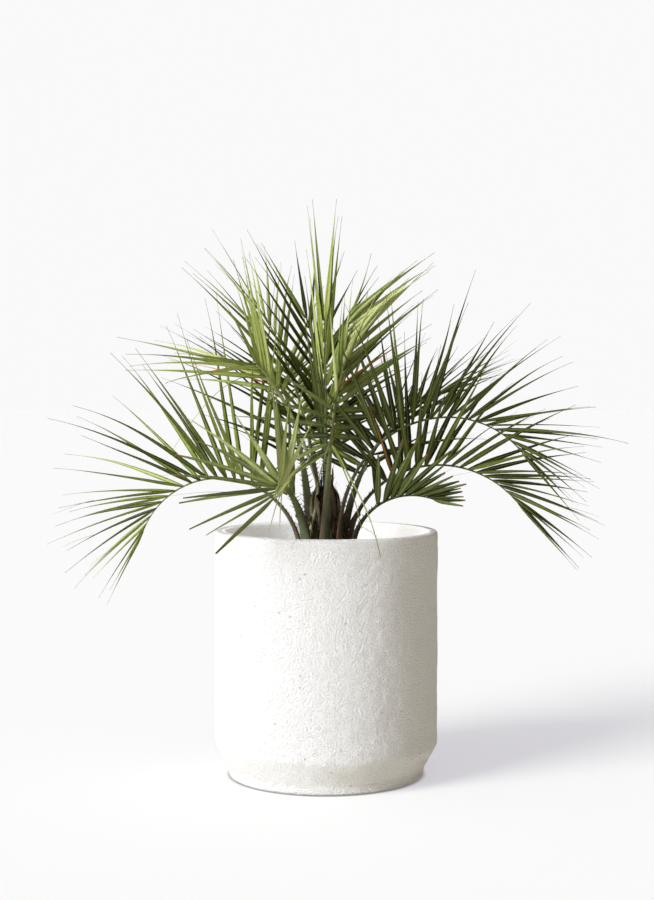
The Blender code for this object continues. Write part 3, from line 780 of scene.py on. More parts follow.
def crumbs(count, size, flatness, seed, inner=0.060, outer=0.136):
    """Small blocks of 6 rings of 5 points. The ring at t has the radius sin(t) ** 0.6. A block
    is stretched and roughened, tipped about Y, spun about Z and laid on the soil."""
    rng = np.random.default_rng(seed)
    angle = rng.uniform(0, 2 * np.pi, count)
    radius = np.sqrt(rng.uniform(inner ** 2, outer ** 2, count))
    t = np.linspace(0.12, np.pi - 0.12, 6)[:, None]
    ball = polar(np.sin(t) ** 0.6, 2 * np.pi * (np.arange(5) + 0.5) / 5, -np.cos(t))
    length = size * rng.uniform(0.6, 1.5, count)
    stretch = np.stack([length, length * rng.uniform(0.35, 0.8, count),
                        length * flatness * rng.uniform(0.6, 1.3, count)], axis=-1)
    blocks = ball * stretch[:, None, None] * (1 + 0.25 * rng.uniform(-1, 1, (count, 6, 5, 1)))
    spin = rng.uniform(0, 2 * np.pi, (count, 1, 1))
    tip = rng.normal(0, 0.35, (count, 1, 1))
    x, y, z = np.moveaxis(blocks, -1, 0)
    x, z = x * np.cos(tip) + z * np.sin(tip), z * np.cos(tip) - x * np.sin(tip)
    x, y = x * np.cos(spin) - y * np.sin(spin), x * np.sin(spin) + y * np.cos(spin)
    place = polar(radius, angle)
    place[:, 2] = soil_height(place[:, 0], place[:, 1]) + stretch[:, 2] * 0.45
    return tubes(np.stack([x, y, z], axis=-1) + place[:, None, None])


make_soil()
for name, (*numbers, finish) in LOOSE.items():
    settle(piece_from(name, [crumbs(*numbers)], [finish]), "potting_soil")

# %% [markdown]
# ## Where each leaflet stands
#
# Palm fronds cross each other in every direction, yet on a living plant no leaflet grows through
# another. The solids of the frame were laid out with one rule for that: a leaflet first takes its
# natural direction, and if it would meet a strip that is already there it is turned by the
# smallest turn that keeps it clear. The same rule with the same random draws gives the same
# places here, so each fine leaflet lies on its solid. Angles are in degrees. A pair of values is
# for the lowest leaflets and the tip, or for the foot and the tip of a stalk. Where two sides
# are given, the right one comes first.

# %% Frond plan
COLLAR_TOP = 0.330
COLUMN_RADIUS = 0.022
COLUMN_TOP = 0.415
SEAT_GAP = 0.0003
BLADE_THICKNESS = 0.0014
BELLY_AT = 0.42
BLADE_STOPS = (0.0, 0.14, BELLY_AT, 1.0)
FOOT_SHARE = 0.42
LAST_PAIR_AT = 0.985
TAPER_AT = (0.0, 0.15, 0.4, 0.75, 1.0)
SPREAD_NOISE, LIFT_NOISE, LENGTH_NOISE, DROOP_NOISE = 3.5, 8.0, 0.07, 0.3
PLACING_SEED = 100
CLEARANCE = 0.0012
LEAST_SPREAD = 6.0
SHRINKS = (1.0, 0.8, 0.6, 0.4)
RIM_MARGIN = 0.004
PATH_STEPS = 60
STALK_STEPS = 20
NARROWS_AT = 0.45
# Widths, then heights, of a stalk at its foot, where it narrows, at its first leaflet, its tip.
STALK_SIZES = {
    "collar": ((0.0190, 0.0130, 0.0080, 0.0022), (0.0105, 0.0085, 0.0058, 0.0020)),
    "column": ((0.0085, 0.0075, 0.0060, 0.0022), (0.0062, 0.0056, 0.0046, 0.0020)),
}
# Which leaflets are cut blunt: (first pair, last pair, side, share of the length kept).
CUTS = {
    "frond_front_left": [(6, 12, 1, 0.90)],
    "frond_right_cut": [(0, 2, 1, 0.88), (3, 8, 1, 0.66), (0, 3, -1, 0.78), (4, 8, -1, 0.66)],
}
print("stalks:", list(STALK_SIZES), "cut fronds:", list(CUTS))

# %% [markdown]
# Each frond has a plan: where its foot stands (angle, radius), which way it heads and how steep
# it is, its length, where its first leaflets are, and the rule of its leaflets: their number,
# length and width, and how spread, lift and length change towards the tip.

# %% Plans of the fronds
USUAL = dict(ring="collar", bend=1.2, roll=(0, 0), droop=0.07, spread_at=(0.0, 0.2, 0.5, 1.0),
             spread=(80, 70, 55, 15), lift=((20, 15), (20, 15)))


def plan(**own):
    """A frond's plan. What isn't given is as usual, and its left side is like its right."""
    spec = {**USUAL, **own}
    for key in ("spread", "taper"):
        spec[key] = (spec[key], spec.get(key + "_left", spec[key]))
    return spec


FRONDS = {
    "frond_left_low": plan(
        foot=(178, 0.038), heading=(178, 184), elevation=(80, -72), bend=1.0, length=0.31,
        first=0.33, pairs=17, leaf=0.31, width=0.0094, spread=(72, 66, 58, 16),
        lift=((66, 45), (56, 40)), taper=(0.97, 1.0, 0.82, 0.54, 0.34)),
    "frond_front_left": plan(
        foot=(228, 0.040), heading=(240, 268), elevation=(78, -28), bend=1.0, length=0.22,
        first=0.46, pairs=13, leaf=0.17, width=0.0100, spread=(95, 92, 88, 52), roll=(60, 60),
        lift=((55, -28), (108, 74)), taper=(0.85, 1.0, 0.95, 0.85, 0.65), droop=0.06),
    "frond_right_long": plan(
        foot=(302, 0.036), heading=(-8, 4), elevation=(92, -55), length=0.398,
        first=0.38, pairs=19, leaf=0.248, width=0.0088, spread=(80, 71, 58, 14),
        lift=((58, 42), (72, 54)), taper=(0.68, 0.88, 0.93, 0.72, 0.42), droop=0.06),
    "frond_right_low": plan(
        foot=(6, 0.035), heading=(352, 350), elevation=(92, -52), bend=0.85, length=0.325,
        first=0.34, pairs=18, leaf=0.205, width=0.0098, spread=(88, 74, 54, 14),
        lift=((58, 30), (68, 45)), taper=(0.70, 0.95, 1.0, 0.80, 0.58)),
    "frond_right_cut": plan(
        foot=(336, 0.042), heading=(342, 352), elevation=(84, -22), bend=0.95, length=0.158,
        first=0.46, pairs=9, leaf=0.120, width=0.0110, spread=(52, 46, 38, 20),
        lift=((68, 50), (76, 62)), taper=(0.75, 0.95, 1.0, 0.8, 0.55), droop=0.02),
    "frond_front": plan(
        foot=(267, 0.036), heading=(310, 350), elevation=(87, 78), length=0.335,
        first=0.41, pairs=18, leaf=0.215, width=0.0105, spread_at=(0, 0.30, 0.34, 0.46, 0.52, 1),
        spread=(128, 62, 16, 12, 44, 40), spread_left=(115, 70, 62, 55, 50, 36), roll=(45, 0),
        lift=((60, -100), (-6, -60)), taper=(0.42, 0.72, 0.80, 0.68, 0.55),
        taper_left=(0.30, 0.40, 0.80, 0.85, 0.68), droop=0.05),
    "frond_left_fan": plan(
        foot=(215, 0.0135), ring="column", heading=(186, 262), elevation=(72, 4), bend=2.0,
        length=0.240, first=0.62, pairs=10, leaf=0.205, width=0.0085, spread=(96, 82, 66, 34),
        lift=((22, -10), (122, 84)), roll=(75, 75), taper=(0.9, 1.0, 1.0, 0.95, 0.8), droop=0.09),
    "frond_left_tall": plan(
        foot=(150, 0.0140), ring="column", heading=(140, 146), elevation=(78, 56), bend=1.3,
        length=0.27, first=0.30, pairs=12, leaf=0.205, width=0.0090, spread=(66, 58, 46, 22),
        lift=((20, 12), (10, 5)), taper=(0.5, 0.6, 0.7, 0.75, 0.7),
        taper_left=(0.7, 0.9, 1.0, 0.9, 0.75), droop=0.04),
    "frond_back": plan(
        foot=(92, 0.0140), ring="column", heading=(98, 124), elevation=(86, 58), bend=1.3,
        length=0.26, first=0.30, pairs=11, leaf=0.19, width=0.0095, spread=(66, 54, 40, 14),
        taper=(0.7, 0.95, 1.0, 0.9, 0.7), droop=0.04),
    "frond_back_right": plan(
        foot=(48, 0.037), heading=(44, 30), elevation=(80, 16), bend=1.1, length=0.30,
        first=0.36, pairs=18, leaf=0.21, width=0.0095, lift=((30, 20), (30, 20)),
        taper=(0.7, 0.95, 1.0, 0.8, 0.6)),
    "frond_back_left": plan(
        foot=(128, 0.036), heading=(112, 104), elevation=(82, 8), length=0.36,
        first=0.35, pairs=13, leaf=0.22, width=0.0090, lift=((30, 20), (30, 20)),
        taper=(0.7, 0.95, 1.0, 0.8, 0.6)),
    "frond_spear": plan(
        foot=(0, 0.0), ring="column", heading=(260, 260), elevation=(88, 87), bend=1.0,
        length=0.24, first=0.22, pairs=7, leaf=0.226, width=0.0042, spread=(30, 26, 19, 10),
        spread_left=(24, 20, 15, 9), taper=(0.92, 0.92, 0.88, 0.84, 0.80), droop=0.0),
}
print("fronds:", len(FRONDS), "pairs:", sum(spec["pairs"] for spec in FRONDS.values()))

# %% [markdown]
# A stalk bends under its own weight. A Bezier curve could follow it, but adding up short equal
# steps, whose heading and elevation change along it, keeps its length as planned.

# %% Stalk paths
def between(ends, share):
    """The value at a share of the way from the first end to the second."""
    return ends[0] + (ends[1] - ends[0]) * share


def stalk_path(spec):
    """Points and directions (along, right, up) of a stalk, at equal steps along it."""
    s = np.linspace(0.0, 1.0, PATH_STEPS + 1)
    rise = np.radians(between(spec["elevation"], s ** spec["bend"]))
    head = np.radians(between(spec["heading"], s))
    along = polar(np.cos(rise), head, np.sin(rise))
    points = np.zeros((PATH_STEPS + 1, 3))
    points[1:] = np.cumsum((along[:-1] + along[1:]) / 2, axis=0) * spec["length"] / PATH_STEPS
    azimuth, radius = math.radians(spec["foot"][0]), spec["foot"][1]
    seat = (COLLAR_TOP if spec["ring"] == "collar" else COLUMN_TOP) + SEAT_GAP
    points += np.array([radius * math.cos(azimuth), radius * math.sin(azimuth), seat])
    right = np.stack([np.sin(head), -np.cos(head), np.zeros_like(head)], axis=1)
    return points, along, right, np.cross(right, along)


def at(share, values):
    """Rows of values for points of a path, read between its steps."""
    grid = np.linspace(0.0, 1.0, PATH_STEPS + 1)
    return np.stack([np.interp(share, grid, column) for column in values.T], axis=-1)


def stalk_size(spec, share):
    """The width and the height of a stalk."""
    marks = (0.0, NARROWS_AT * spec["first"], spec["first"], 1.0)
    return np.stack([np.interp(share, marks, sizes) for sizes in STALK_SIZES[spec["ring"]]],
                    axis=-1)


# %% [markdown]
# A strip that is in place is remembered as a few straight steps, each a row of numbers: its
# start, its end, its half width at both, half its thickness at both, the direction of its
# width, its owner, and whether it is at the foot, where strips of one frond may meet.

# %% Strips that are in place
START, END, FLAT = slice(0, 3), slice(3, 6), slice(10, 13)
HALF, THICK, OWNER, AT_FOOT = 6, 8, 13, 14


def strip(points, half, flat, thick, owner, foot_steps):
    """The rows of one strip. So many of its first steps are at the foot."""
    steps = len(points) - 1
    return np.column_stack([
        points[:-1], points[1:], half[:-1], half[1:], thick[:-1], thick[1:],
        np.broadcast_to(flat, (steps, 3)), np.full(steps, owner), np.arange(steps) < foot_steps])


def within(rows, centre, reach):
    """The steps that come nearer to a point than reach."""
    start, end = rows[:, START], rows[:, END]
    half_length = np.linalg.norm(end - start, axis=1) / 2
    return rows[np.linalg.norm((start + end) / 2 - centre, axis=1) < reach + half_length]


def oval_reach(rows, share, way):
    """How far a strip's oval section reaches: sqrt(half^2 * c^2 + thick^2 * (1 - c^2)), where c
    is the dot product of the way with the strip's width direction."""
    half, thick = (between((rows[..., k], rows[..., k + 1]), share) for k in (HALF, THICK))
    c = (way * rows[..., FLAT]).sum(-1)
    return np.sqrt(half ** 2 * c ** 2 + thick ** 2 * (1 - c ** 2))


def clearance(new, old):
    """The least gap between a new strip and those in place, in metres.

    For each two steps it finds their nearest points, s and t along them, and takes from their
    distance how far each strip's oval section reaches towards the other.
    """
    if not len(old):
        return 1.0
    new = new[:, None]
    step, other = new[..., END] - new[..., START], old[:, END] - old[:, START]
    gap = new[..., START] - old[:, START]
    step_step, other_other, step_other, step_gap, other_gap = (
        (a * b).sum(-1) for a, b in (
            (step, step), (other, other), (step, other), (step, gap), (other, gap)))
    spare = np.maximum(step_step * other_other - step_other ** 2, 1e-12)
    s = np.clip((step_other * other_gap - step_gap * other_other) / spare, 0, 1)
    t = np.clip((step_other * s + other_gap) / np.maximum(other_other, 1e-12), 0, 1)
    s = np.clip((step_other * t - step_gap) / np.maximum(step_step, 1e-12), 0, 1)
    apart = gap + step * s[..., None] - other * t[..., None]
    distance = np.linalg.norm(apart, axis=-1)
    way = apart / np.maximum(distance, 1e-9)[..., None]
    free = distance - oval_reach(new, s, way) - oval_reach(old, t, way)
    at_foot = (old[:, AT_FOOT] > 0) | (new[..., AT_FOOT] > 0)
    return np.where((old[:, OWNER] == new[..., OWNER]) & at_foot, 1.0, free).min()


# %% [markdown]
# A leaflet tries its turns in order, each a change of spread and a change of lift, until it is
# clear of the strips in place and of the planter. If none will do, it tries a shorter blade.

# %% One leaflet
# The smallest turns come first.
TURNS = sorted(((spread, lift) for spread in range(-24, 25, 4) for lift in range(-40, 41, 5)),
               key=lambda turn: (abs(turn[0]) / 4 + abs(turn[1]) / 5, turn))


def clear_of_pot(points, half):
    """Whether no point is in the planter's wall, over its rim or in the soil, with a margin."""
    radius = np.hypot(points[:, 0], points[:, 1])
    over_rim = (radius > INNER_RADIUS - RIM_MARGIN) & (radius < POT_RADIUS + RIM_MARGIN + half)
    near_rim = (points[:, 2] < POT_HEIGHT + RIM_MARGIN) & over_rim
    in_soil = (points[:, 2] < SOIL_TOP + RIM_MARGIN) & (radius < POT_RADIUS)
    return not (near_rim | in_soil).any()


def leaflet_path(spec, root, frame, side, spread, lift, length, droop):
    """The middle line of a leaflet, its way, and the directions of its width and upper face."""
    along, right, up = frame
    spread, lift, roll = (math.radians(v) for v in (spread, lift, spec["roll"][side < 0]))
    out = right * side * math.cos(lift) + up * math.sin(lift)
    way = along * math.cos(spread) + out * math.sin(spread)
    u = np.array(BLADE_STOPS)
    points = root + np.outer(u, way) * length
    points[:, 2] -= droop * length * u ** 2.2
    # The blade runs straight from its foot to its belly.
    points[1] = points[0] + (points[2] - points[0]) * u[1] / u[2]
    flat = unit(along - way * float(along @ way))
    face = np.cross(way, flat) * side
    rolled = flat * math.cos(roll) + face * math.sin(roll)
    return points, way, rolled, face * math.cos(roll) - flat * math.sin(roll)


def natural_leaflet(spec, share, side, noise):
    """Spread, lift, length and droop of a leaflet, before any turn."""
    lift, spreads, tapers = (spec[key][side < 0] for key in ("lift", "spread", "taper"))
    return (np.interp(share, spec["spread_at"], spreads) + SPREAD_NOISE * noise[0],
            between(lift, share) + LIFT_NOISE * noise[1],
            spec["leaf"] * np.interp(share, TAPER_AT, tapers) * (1 + LENGTH_NOISE * noise[2]),
            spec["droop"] * (1 + DROOP_NOISE * noise[3]))


def clear_leaflet(spec, near, owner, root, frame, side, natural, half, thick):
    """The leaflet nearest to its natural direction and length that meets no other, and its
    strip. If every turn and length meets another, there is none."""
    spread, lift, length, droop = natural
    for shrink in SHRINKS:
        for more_spread, more_lift in TURNS:
            points, way, flat, face = leaflet_path(
                spec, root, frame, side, max(spread + more_spread, LEAST_SPREAD),
                lift + more_lift, length * shrink, droop)
            if not clear_of_pot(points, half):
                continue
            new = strip(points, half, flat, thick, owner, 1)
            if clearance(new, near) > CLEARANCE:
                return dict(root=root, way=way, flat=flat, face=face, length=length * shrink,
                            droop=droop), new
    return None, None


# %% [markdown]
# The column and the stalks are put in place first, then the leaflets, frond by frond.

# %% Leaflet places
def place_leaflets(frond, owner, strips):
    """Every leaflet of a frond, in pairs from the lowest to the tip. The ones near both ends
    of the stalk are narrower."""
    spec = FRONDS[frond]
    rng = np.random.default_rng(PLACING_SEED + owner)
    path, *ways = stalk_path(spec)
    leaflets = []
    for pair in range(spec["pairs"]):
        share = pair / (spec["pairs"] - 1)
        s = between((spec["first"], LAST_PAIR_AT), share)
        frame = [unit(at(s, way)) for way in ways]
        width, height = stalk_size(spec, s)
        widest = spec["width"] / 2 * (0.75 + 0.25 * math.sin(math.pi * min(share + 0.3, 1.0)))
        shares, thick = (np.interp(BLADE_STOPS, (0.0, BELLY_AT, 1.0), sizes) for sizes in (
            (FOOT_SHARE, 1.0, 0.0), (height / 2, BLADE_THICKNESS, 0.0)))
        half = widest * shares
        for side in (1, -1):
            natural = natural_leaflet(spec, share, side, rng.normal(0.0, 1.0, 4))
            root = at(s, path) + frame[1] * side * width / 2
            near = within(np.concatenate(strips), root, natural[2] * (1 + natural[3]) + 0.03)
            leaf, new = clear_leaflet(
                spec, near, owner, root, frame, side, natural, half, thick)
            if leaf:
                strips.append(new)
                kept = [keep for low, high, cut_side, keep in CUTS.get(frond, [])
                        if low <= pair <= high and side == cut_side]
                leaflets.append(dict(leaf, share=share, side=side, widest=widest,
                                     keep=kept[0] if kept else 1.0))
    return leaflets


def place_stalks():
    """The column and every stalk as strips, so that the leaflets keep clear of them."""
    column = np.array([[0.0, 0.0, COLLAR_TOP], [0.0, 0.0, COLUMN_TOP - 0.004]])
    around = np.full(2, COLUMN_RADIUS + 0.001)
    strips = [strip(column, around, (0.0, 0.0, 1.0), around, -1, 0)]
    for owner, spec in enumerate(FRONDS.values()):
        path, _, right, _ = stalk_path(spec)
        stops = np.linspace(0.0, 1.0, STALK_STEPS + 1)
        width, height = stalk_size(spec, stops).T
        strips.append(strip(at(stops, path), width / 2, right[0], height / 2, owner, STALK_STEPS))
    return strips


placed = place_stalks()
LEAFLETS = {frond: place_leaflets(frond, number, placed) for number, frond in enumerate(FRONDS)}
print("leaflets:", {frond: len(leaves) for frond, leaves in LEAFLETS.items()})

# %% [markdown]
# ## Leaf finishes
#
# A leaflet is green with a dull satin skin. It is folded along its midrib, so its two halves
# take the light differently. Along it run fine veins, a paler midrib and thin pale margins; its
# tip is thread-like and goes brown first. The underside is a little paler. Each leaflet has a
# tone of its own on top of its frond's, which is partly painted light and shade, and a few old
# ones are dry and orange-brown. The mesh carries these as values, so that one finish serves every
# leaflet of a frond.

# %% Leaf finishes
LEAF_TONES = {
    "green_leaf": dict(dark=(0.014, 0.023, 0.002), middle=(0.108, 0.150, 0.016),
                       light=(0.395, 0.445, 0.135), under=(0.250, 0.280, 0.085)),
    "grey_green_leaf": dict(dark=(0.018, 0.030, 0.004), middle=(0.130, 0.172, 0.030),
                            light=(0.405, 0.445, 0.175), under=(0.290, 0.320, 0.140)),
}
LEAF_RIB = (0.44, 0.46, 0.16)
LEAF_BROWN = (0.165, 0.082, 0.028)
LEAF_DRY = (0.62, 0.210, 0.030)


def leaf_finish(name, dark, middle, light, under):
    """The tone, with patches and veins added, picks a colour from dark by middle to light. The
    underside, rib, margins, dry patches and brown tip are then laid over it in that order."""
    m = Finish(name, specular=0.10)
    vein, dry = m.stripes(1900.0, 9.0), m.trait("dry")
    # The tone trait carries the frond's painted light and shade besides the leaflet's own tone.
    tone = m.vary(m.vary(m.trait("tone"), m.mottle(30.0, 1.5), 0.5), vein, 0.60)
    colour = m.mix(m.spread(tone, 0.0, 0.5), dark, middle)
    colour = m.mix(m.spread(tone, 0.40, 1.0), colour, light)
    colour = m.mix(m.trait("upper"), m.mix(0.20, colour, under), colour)
    across = m.math("ABSOLUTE", m.trait("across"))
    rib = m.spread(across, 0.0, 0.22, 0.6, 0.0)
    colour = m.mix(rib, colour, m.mix(0.5, colour, LEAF_RIB))
    edge = m.spread(across, 0.86, 1.0, 0.0, 0.30)
    colour = m.mix(edge, colour, m.mix(dry, LEAF_RIB, LEAF_BROWN))
    dried = m.spread(m.vary(dry, m.mottle(60.0, 2.2), 0.5), 0.35, 0.75)
    colour = m.mix(dried, colour, m.mix(vein, LEAF_BROWN, LEAF_DRY))
    colour = m.mix(m.trait("tip"), colour, LEAF_BROWN)
    rough = m.math("MULTIPLY_ADD", dry, 0.3, m.spread(vein, 0.2, 0.8, 0.36, 0.50))
    return m.paint(colour, rough, m.bump(0.6, 0.00025, vein))


LEAF = {name: leaf_finish(name, **tones) for name, tones in LEAF_TONES.items()}
print("finishes:", list(LEAF))

# %% [markdown]
# The stalk is grey-green and waxy near its foot, where dead brown fibre clings to its margins,
# and yellow-green further out, where it carries the leaflets. The dry values of its mesh turn it
# into brown husk. Fibres, spines and sheaths share one finish of dark lines in three colours.

# %% Stalk, spine and fibre finishes
def stalk_finish():
    """A green that changes along the stalk, with fine lines, brown margins, and husk where the
    dry value is high."""
    m = Finish("frond_stalk", specular=0.4)
    line, along = m.stripes(900.0, 14.0), m.trait("along")
    # The tone trait carries its frond's painted light and shade.
    tone = m.spread(m.vary(m.trait("tone"), m.mottle(45.0, 1.6), 0.5), 0.0, 1.0)
    foot = m.mix(tone, (0.050, 0.062, 0.026), (0.27, 0.31, 0.17))
    rachis = m.mix(tone, (0.085, 0.105, 0.024), (0.40, 0.43, 0.15))
    colour = m.mix(m.spread(along, 0.15, 0.5), foot, rachis)
    colour = m.mix(m.times(line, 0.4), colour, m.mix(0.5, colour, (0.05, 0.05, 0.02)))
    margin = m.spread(m.math("ABSOLUTE", m.trait("across")), 0.66, 0.96)
    old = m.spread(along, 0.08, 0.34, 0.95, 0.15)
    colour = m.mix(m.times(margin, old), colour, (0.110, 0.058, 0.032))
    husk = m.spread(m.vary(m.trait("dry"), line, 0.6), 0.35, 0.7)
    colour = m.mix(husk, colour, m.mix(line, (0.060, 0.026, 0.012), (0.20, 0.105, 0.050)))
    return m.paint(colour, m.spread(line, 0.2, 0.8, 0.42, 0.62), m.bump(0.7, 0.0005, line))


def fibre_finish(name, dark, middle, light, line_scale=1500.0):
    """The tone picks a colour from dark by middle to light, and dark lines cross it."""
    m = Finish(name, specular=0.25)
    line = m.stripes(line_scale, 30.0)
    tone = m.vary(m.trait("tone"), m.mottle(70.0, 2.0), 0.6)
    colour = m.mix(m.spread(tone, 0.0, 0.5), dark, middle)
    colour = m.mix(m.spread(tone, 0.45, 1.0), colour, light)
    colour = m.mix(m.times(line, 0.55), colour, dark)
    return m.paint(colour, 0.8, m.bump(0.9, 0.0006, line))


STALK = stalk_finish()
FIBRE = fibre_finish(
    "brown_fibre", (0.014, 0.009, 0.005), (0.055, 0.034, 0.017), (0.24, 0.155, 0.085))
SPINE = fibre_finish(
    "spine_horn", (0.012, 0.008, 0.005), (0.035, 0.024, 0.014), (0.15, 0.11, 0.06))
SHEATH = fibre_finish(
    "dry_sheath", (0.070, 0.035, 0.018), (0.24, 0.140, 0.070), (0.52, 0.40, 0.26), 900.0)
print("finishes:", STALK.name, FIBRE.name, SPINE.name, SHEATH.name)

# %% [markdown]
# ## Leaflets
#
# All the leaflets of one frond are one array: leaflet, row along it, place round its section.
# The section is a thin folded strip, ridge up, with a thicker midrib and fine margins. The
# middle line leaves the stalk straight and sags more and more towards the tip. On top of the
# plain rule each blade twists, bows and waves a little, by draws of its own. A trimmed leaflet
# just ends early, blunt and brown.

# %% Leaflet looks
LEAF_PAINT, STALK_PAINT, SPINE_PAINT = 0, 1, 2
BLADE_ROWS = 21
# Round the section: the place across, how far the upper side shows, and above or below.
RING_ACROSS = np.array([1.0, 0.5, 0.0, -0.5, -1.0, -0.5, 0.0, 0.5])
RING_UPPER = np.array([0.5, 1.0, 1.0, 1.0, 0.5, 0.0, 0.0, 0.0])
RING_SIDE = np.array([0.0, 1.0, 1.0, 1.0, 0.0, -1.0, -1.0, -1.0])
LAMINA_HALF = 0.00024
MIDRIB_HALF = 0.00055
FOLD_RATIO = 0.42
TIP_HALF = 0.00042
TWIST = math.radians(16.0)
COIL = math.radians(9.0)
OWN_TONE = 0.23
TIP_TONE = 0.10
PATTERN_STEP = 0.37
# How light each frond's leaflets are, at its foot and its tip: on the right, then on the left.
# Partly the leaves' own tone and partly painted light and shade: fronds and sides that face the
# key light are lighter, those behind and on the right darker.
TONES_AND_PAINTED_LIGHT = {
    "frond_left_low": ((0.46, 0.48), (0.38, 0.40)),
    "frond_front_left": ((0.42, 0.30), (0.62, 0.80)),
    "frond_right_long": ((-0.12, 0.05), (-0.12, 0.00)),
    "frond_right_low": ((-0.08, 0.02), (-0.10, 0.02)),
    "frond_right_cut": ((0.06, 0.00), (0.08, 0.00)),
    "frond_front": ((0.45, 1.05), (0.35, 0.70)),
    "frond_left_fan": ((0.90, 0.90), (0.80, 0.80)),
    "frond_left_tall": ((0.75, 0.85), (0.55, 0.70)),
    "frond_back": ((-0.12, 0.0), (-0.12, 0.10)),
    "frond_back_right": ((-0.15, -0.10), (-0.15, -0.05)),
    "frond_back_left": ((0.20, 0.30), (0.15, 0.25)),
    "frond_spear": ((0.30, 0.60), (0.95, 0.75)),
}
# How wide the blades are for the width of the plan.
WIDTH_SHARES = {"frond_front_left": 1.2, "frond_spear": 2.5, "frond_right_long": 0.86,
                "frond_left_low": 0.76, "frond_right_low": 0.92, "frond_left_fan": 0.92,
                "frond_right_cut": 0.86}


print("tones:", len(TONES_AND_PAINTED_LIGHT), "widths:", len(WIDTH_SHARES))

# %% [markdown]
# The blades of a frond are drawn in two steps: first their middle lines and directions, then
# the sections round those lines with the values for the finish.

# %% Blades
def width_share(u, keep):
    """Half width as a share of the widest. It grows from 0.35 as a quarter sine over the first
    0.22 and falls as 1.22 * (1 - u ** 1.35) ** 1.5, so the last third is a thread. A trimmed
    blade stays broader: it falls by 0.70 * (u / keep) squared."""
    rise = 0.35 + 0.65 * np.sin(np.minimum(u / 0.22, 1.0) * np.pi / 2)
    fall = np.where(keep < 1, 1.0 - 0.70 * (u / keep) ** 2, 1.22 * (1.0 - u ** 1.35) ** 1.5)
    return rise * fall


def blade_line(leaf, u, rng):
    """Middle lines, width directions and upper face directions of many leaflets.

    The line is root + way * length * u, less droop * length * u ** 2.2 in height, plus a bow
    and a wave across and a curl along the face. Both directions turn about the line by a twist.
    """
    length, flat, face = leaf["length"], leaf["flat"], leaf["face"]
    bow, wave, phase, twist, coil, own = rng.normal(0.0, 1.0, (6, len(length), 1))
    middle = leaf["root"] + leaf["way"] * (length * u)[..., None]
    middle[..., 2] -= leaf["droop"] * length * u ** 2.2
    swing = length * (0.010 * bow * np.sin(np.pi * u) * u
                      + 0.008 * wave * u ** 2 * np.sin(5 * u + 3 * phase))
    lift = length * 0.012 * coil * u ** 2.5
    middle += flat * swing[..., None] + face * lift[..., None]
    along = unit(np.gradient(middle, axis=1))
    across = unit(flat - along * (along * flat).sum(-1, keepdims=True))
    normal = np.cross(along, across) * leaf["side"][..., None]
    turn = (TWIST * twist * u + COIL * coil)[..., None]
    return (middle, across * np.cos(turn) + normal * np.sin(turn),
            normal * np.cos(turn) - across * np.sin(turn), own)


def blades(leaves, tones, width, rng):
    """The leaflets of one frond as tubes of 8 points round. The section at place c across is
    c * half along the width, and along the face -fold * half * |c|, plus or minus half the
    thickness. Tone, browning and dryness differ from leaflet to leaflet."""
    leaf = {key: np.array([one[key] for one in leaves])[:, None] for key in leaves[0]}
    length, side, keep = leaf["length"], leaf["side"], leaf["keep"]
    step = np.linspace(0.0, 1.0, BLADE_ROWS)[None, :]
    u = (0.35 * step + 0.65 * np.sin(step * np.pi / 2)) * keep
    middle, across, normal, own = blade_line(leaf, u, rng)
    half = np.maximum(leaf["widest"] * width * width_share(u, keep), TIP_HALF * (1.0 - 0.4 * u))
    c = RING_ACROSS * half[..., None]
    midrib = (MIDRIB_HALF * (1.0 - 0.7 * u) + LAMINA_HALF)[..., None]
    thin = np.where(RING_ACROSS == 0.0, midrib, LAMINA_HALF)
    fold = FOLD_RATIO * (1.0 + 0.25 * own)
    depth = (-fold * half)[..., None] * np.abs(RING_ACROSS)
    depth = depth + thin * RING_SIDE * np.minimum(1.0, half / 0.0008)[..., None]
    points = middle[:, :, None] + (across * side[..., None])[:, :, None] * c[..., None]
    points += normal[:, :, None] * depth[..., None]
    cut = (keep < 1) * smooth_step(u, keep - 0.09, keep - 0.02)
    brown = np.clip(smooth_step(u, 1.0 - leaf["brown"], 1.0) + cut, 0, 1)
    # The frond's tones for each side hold painted light and shade as well as its own tone.
    right, left = (between(ends, leaf["share"]) for ends in tones)
    tone = np.where(side > 0, right, left) + OWN_TONE * own + TIP_TONE * (step - 0.5)
    start = PATTERN_STEP * np.arange(len(leaves))[:, None, None]
    return tubes(points, LEAF_PAINT, ((length * u)[..., None] + start, c), along=u[..., None],
                 across=RING_ACROSS, upper=RING_UPPER, tone=tone[..., None],
                 dry=leaf["dry"][..., None], tip=brown[..., None])


# %% [markdown]
# ## Stalks
#
# A stalk is D-shaped: nearly flat above, round below. Its foot spreads and runs down into the
# crown of the stem, where the old sheaths hold it, and remnants of them cling to it further up.
# Below the first leaflets its two margins carry short stiff teeth that point outwards.

# %% Stalks
STALK_ROWS = 64
STALK_RING = 14
FOOT_ROWS = 12
FOOT_CURL, STALK_CURL = 14.0, 3.0
# How far a foot reaches down, the radius that it reaches there, and its width.
FEET = {"collar": (0.028, 0.030, 0.0215), "column": (0.084, 0.029, 0.0200)}
SPINE_PAIRS = 11
SPINE_LENGTH = 0.0058
SPINE_RADII = np.array([0.00075, 0.00045, 0.00008])


def stalk_frames(spec, stops):
    """Places, directions (along, right, up) and sizes of a stalk at given shares of it."""
    path, *ways = (at(stops, values) for values in stalk_path(spec))
    return path, *map(unit, ways), stalk_size(spec, stops)


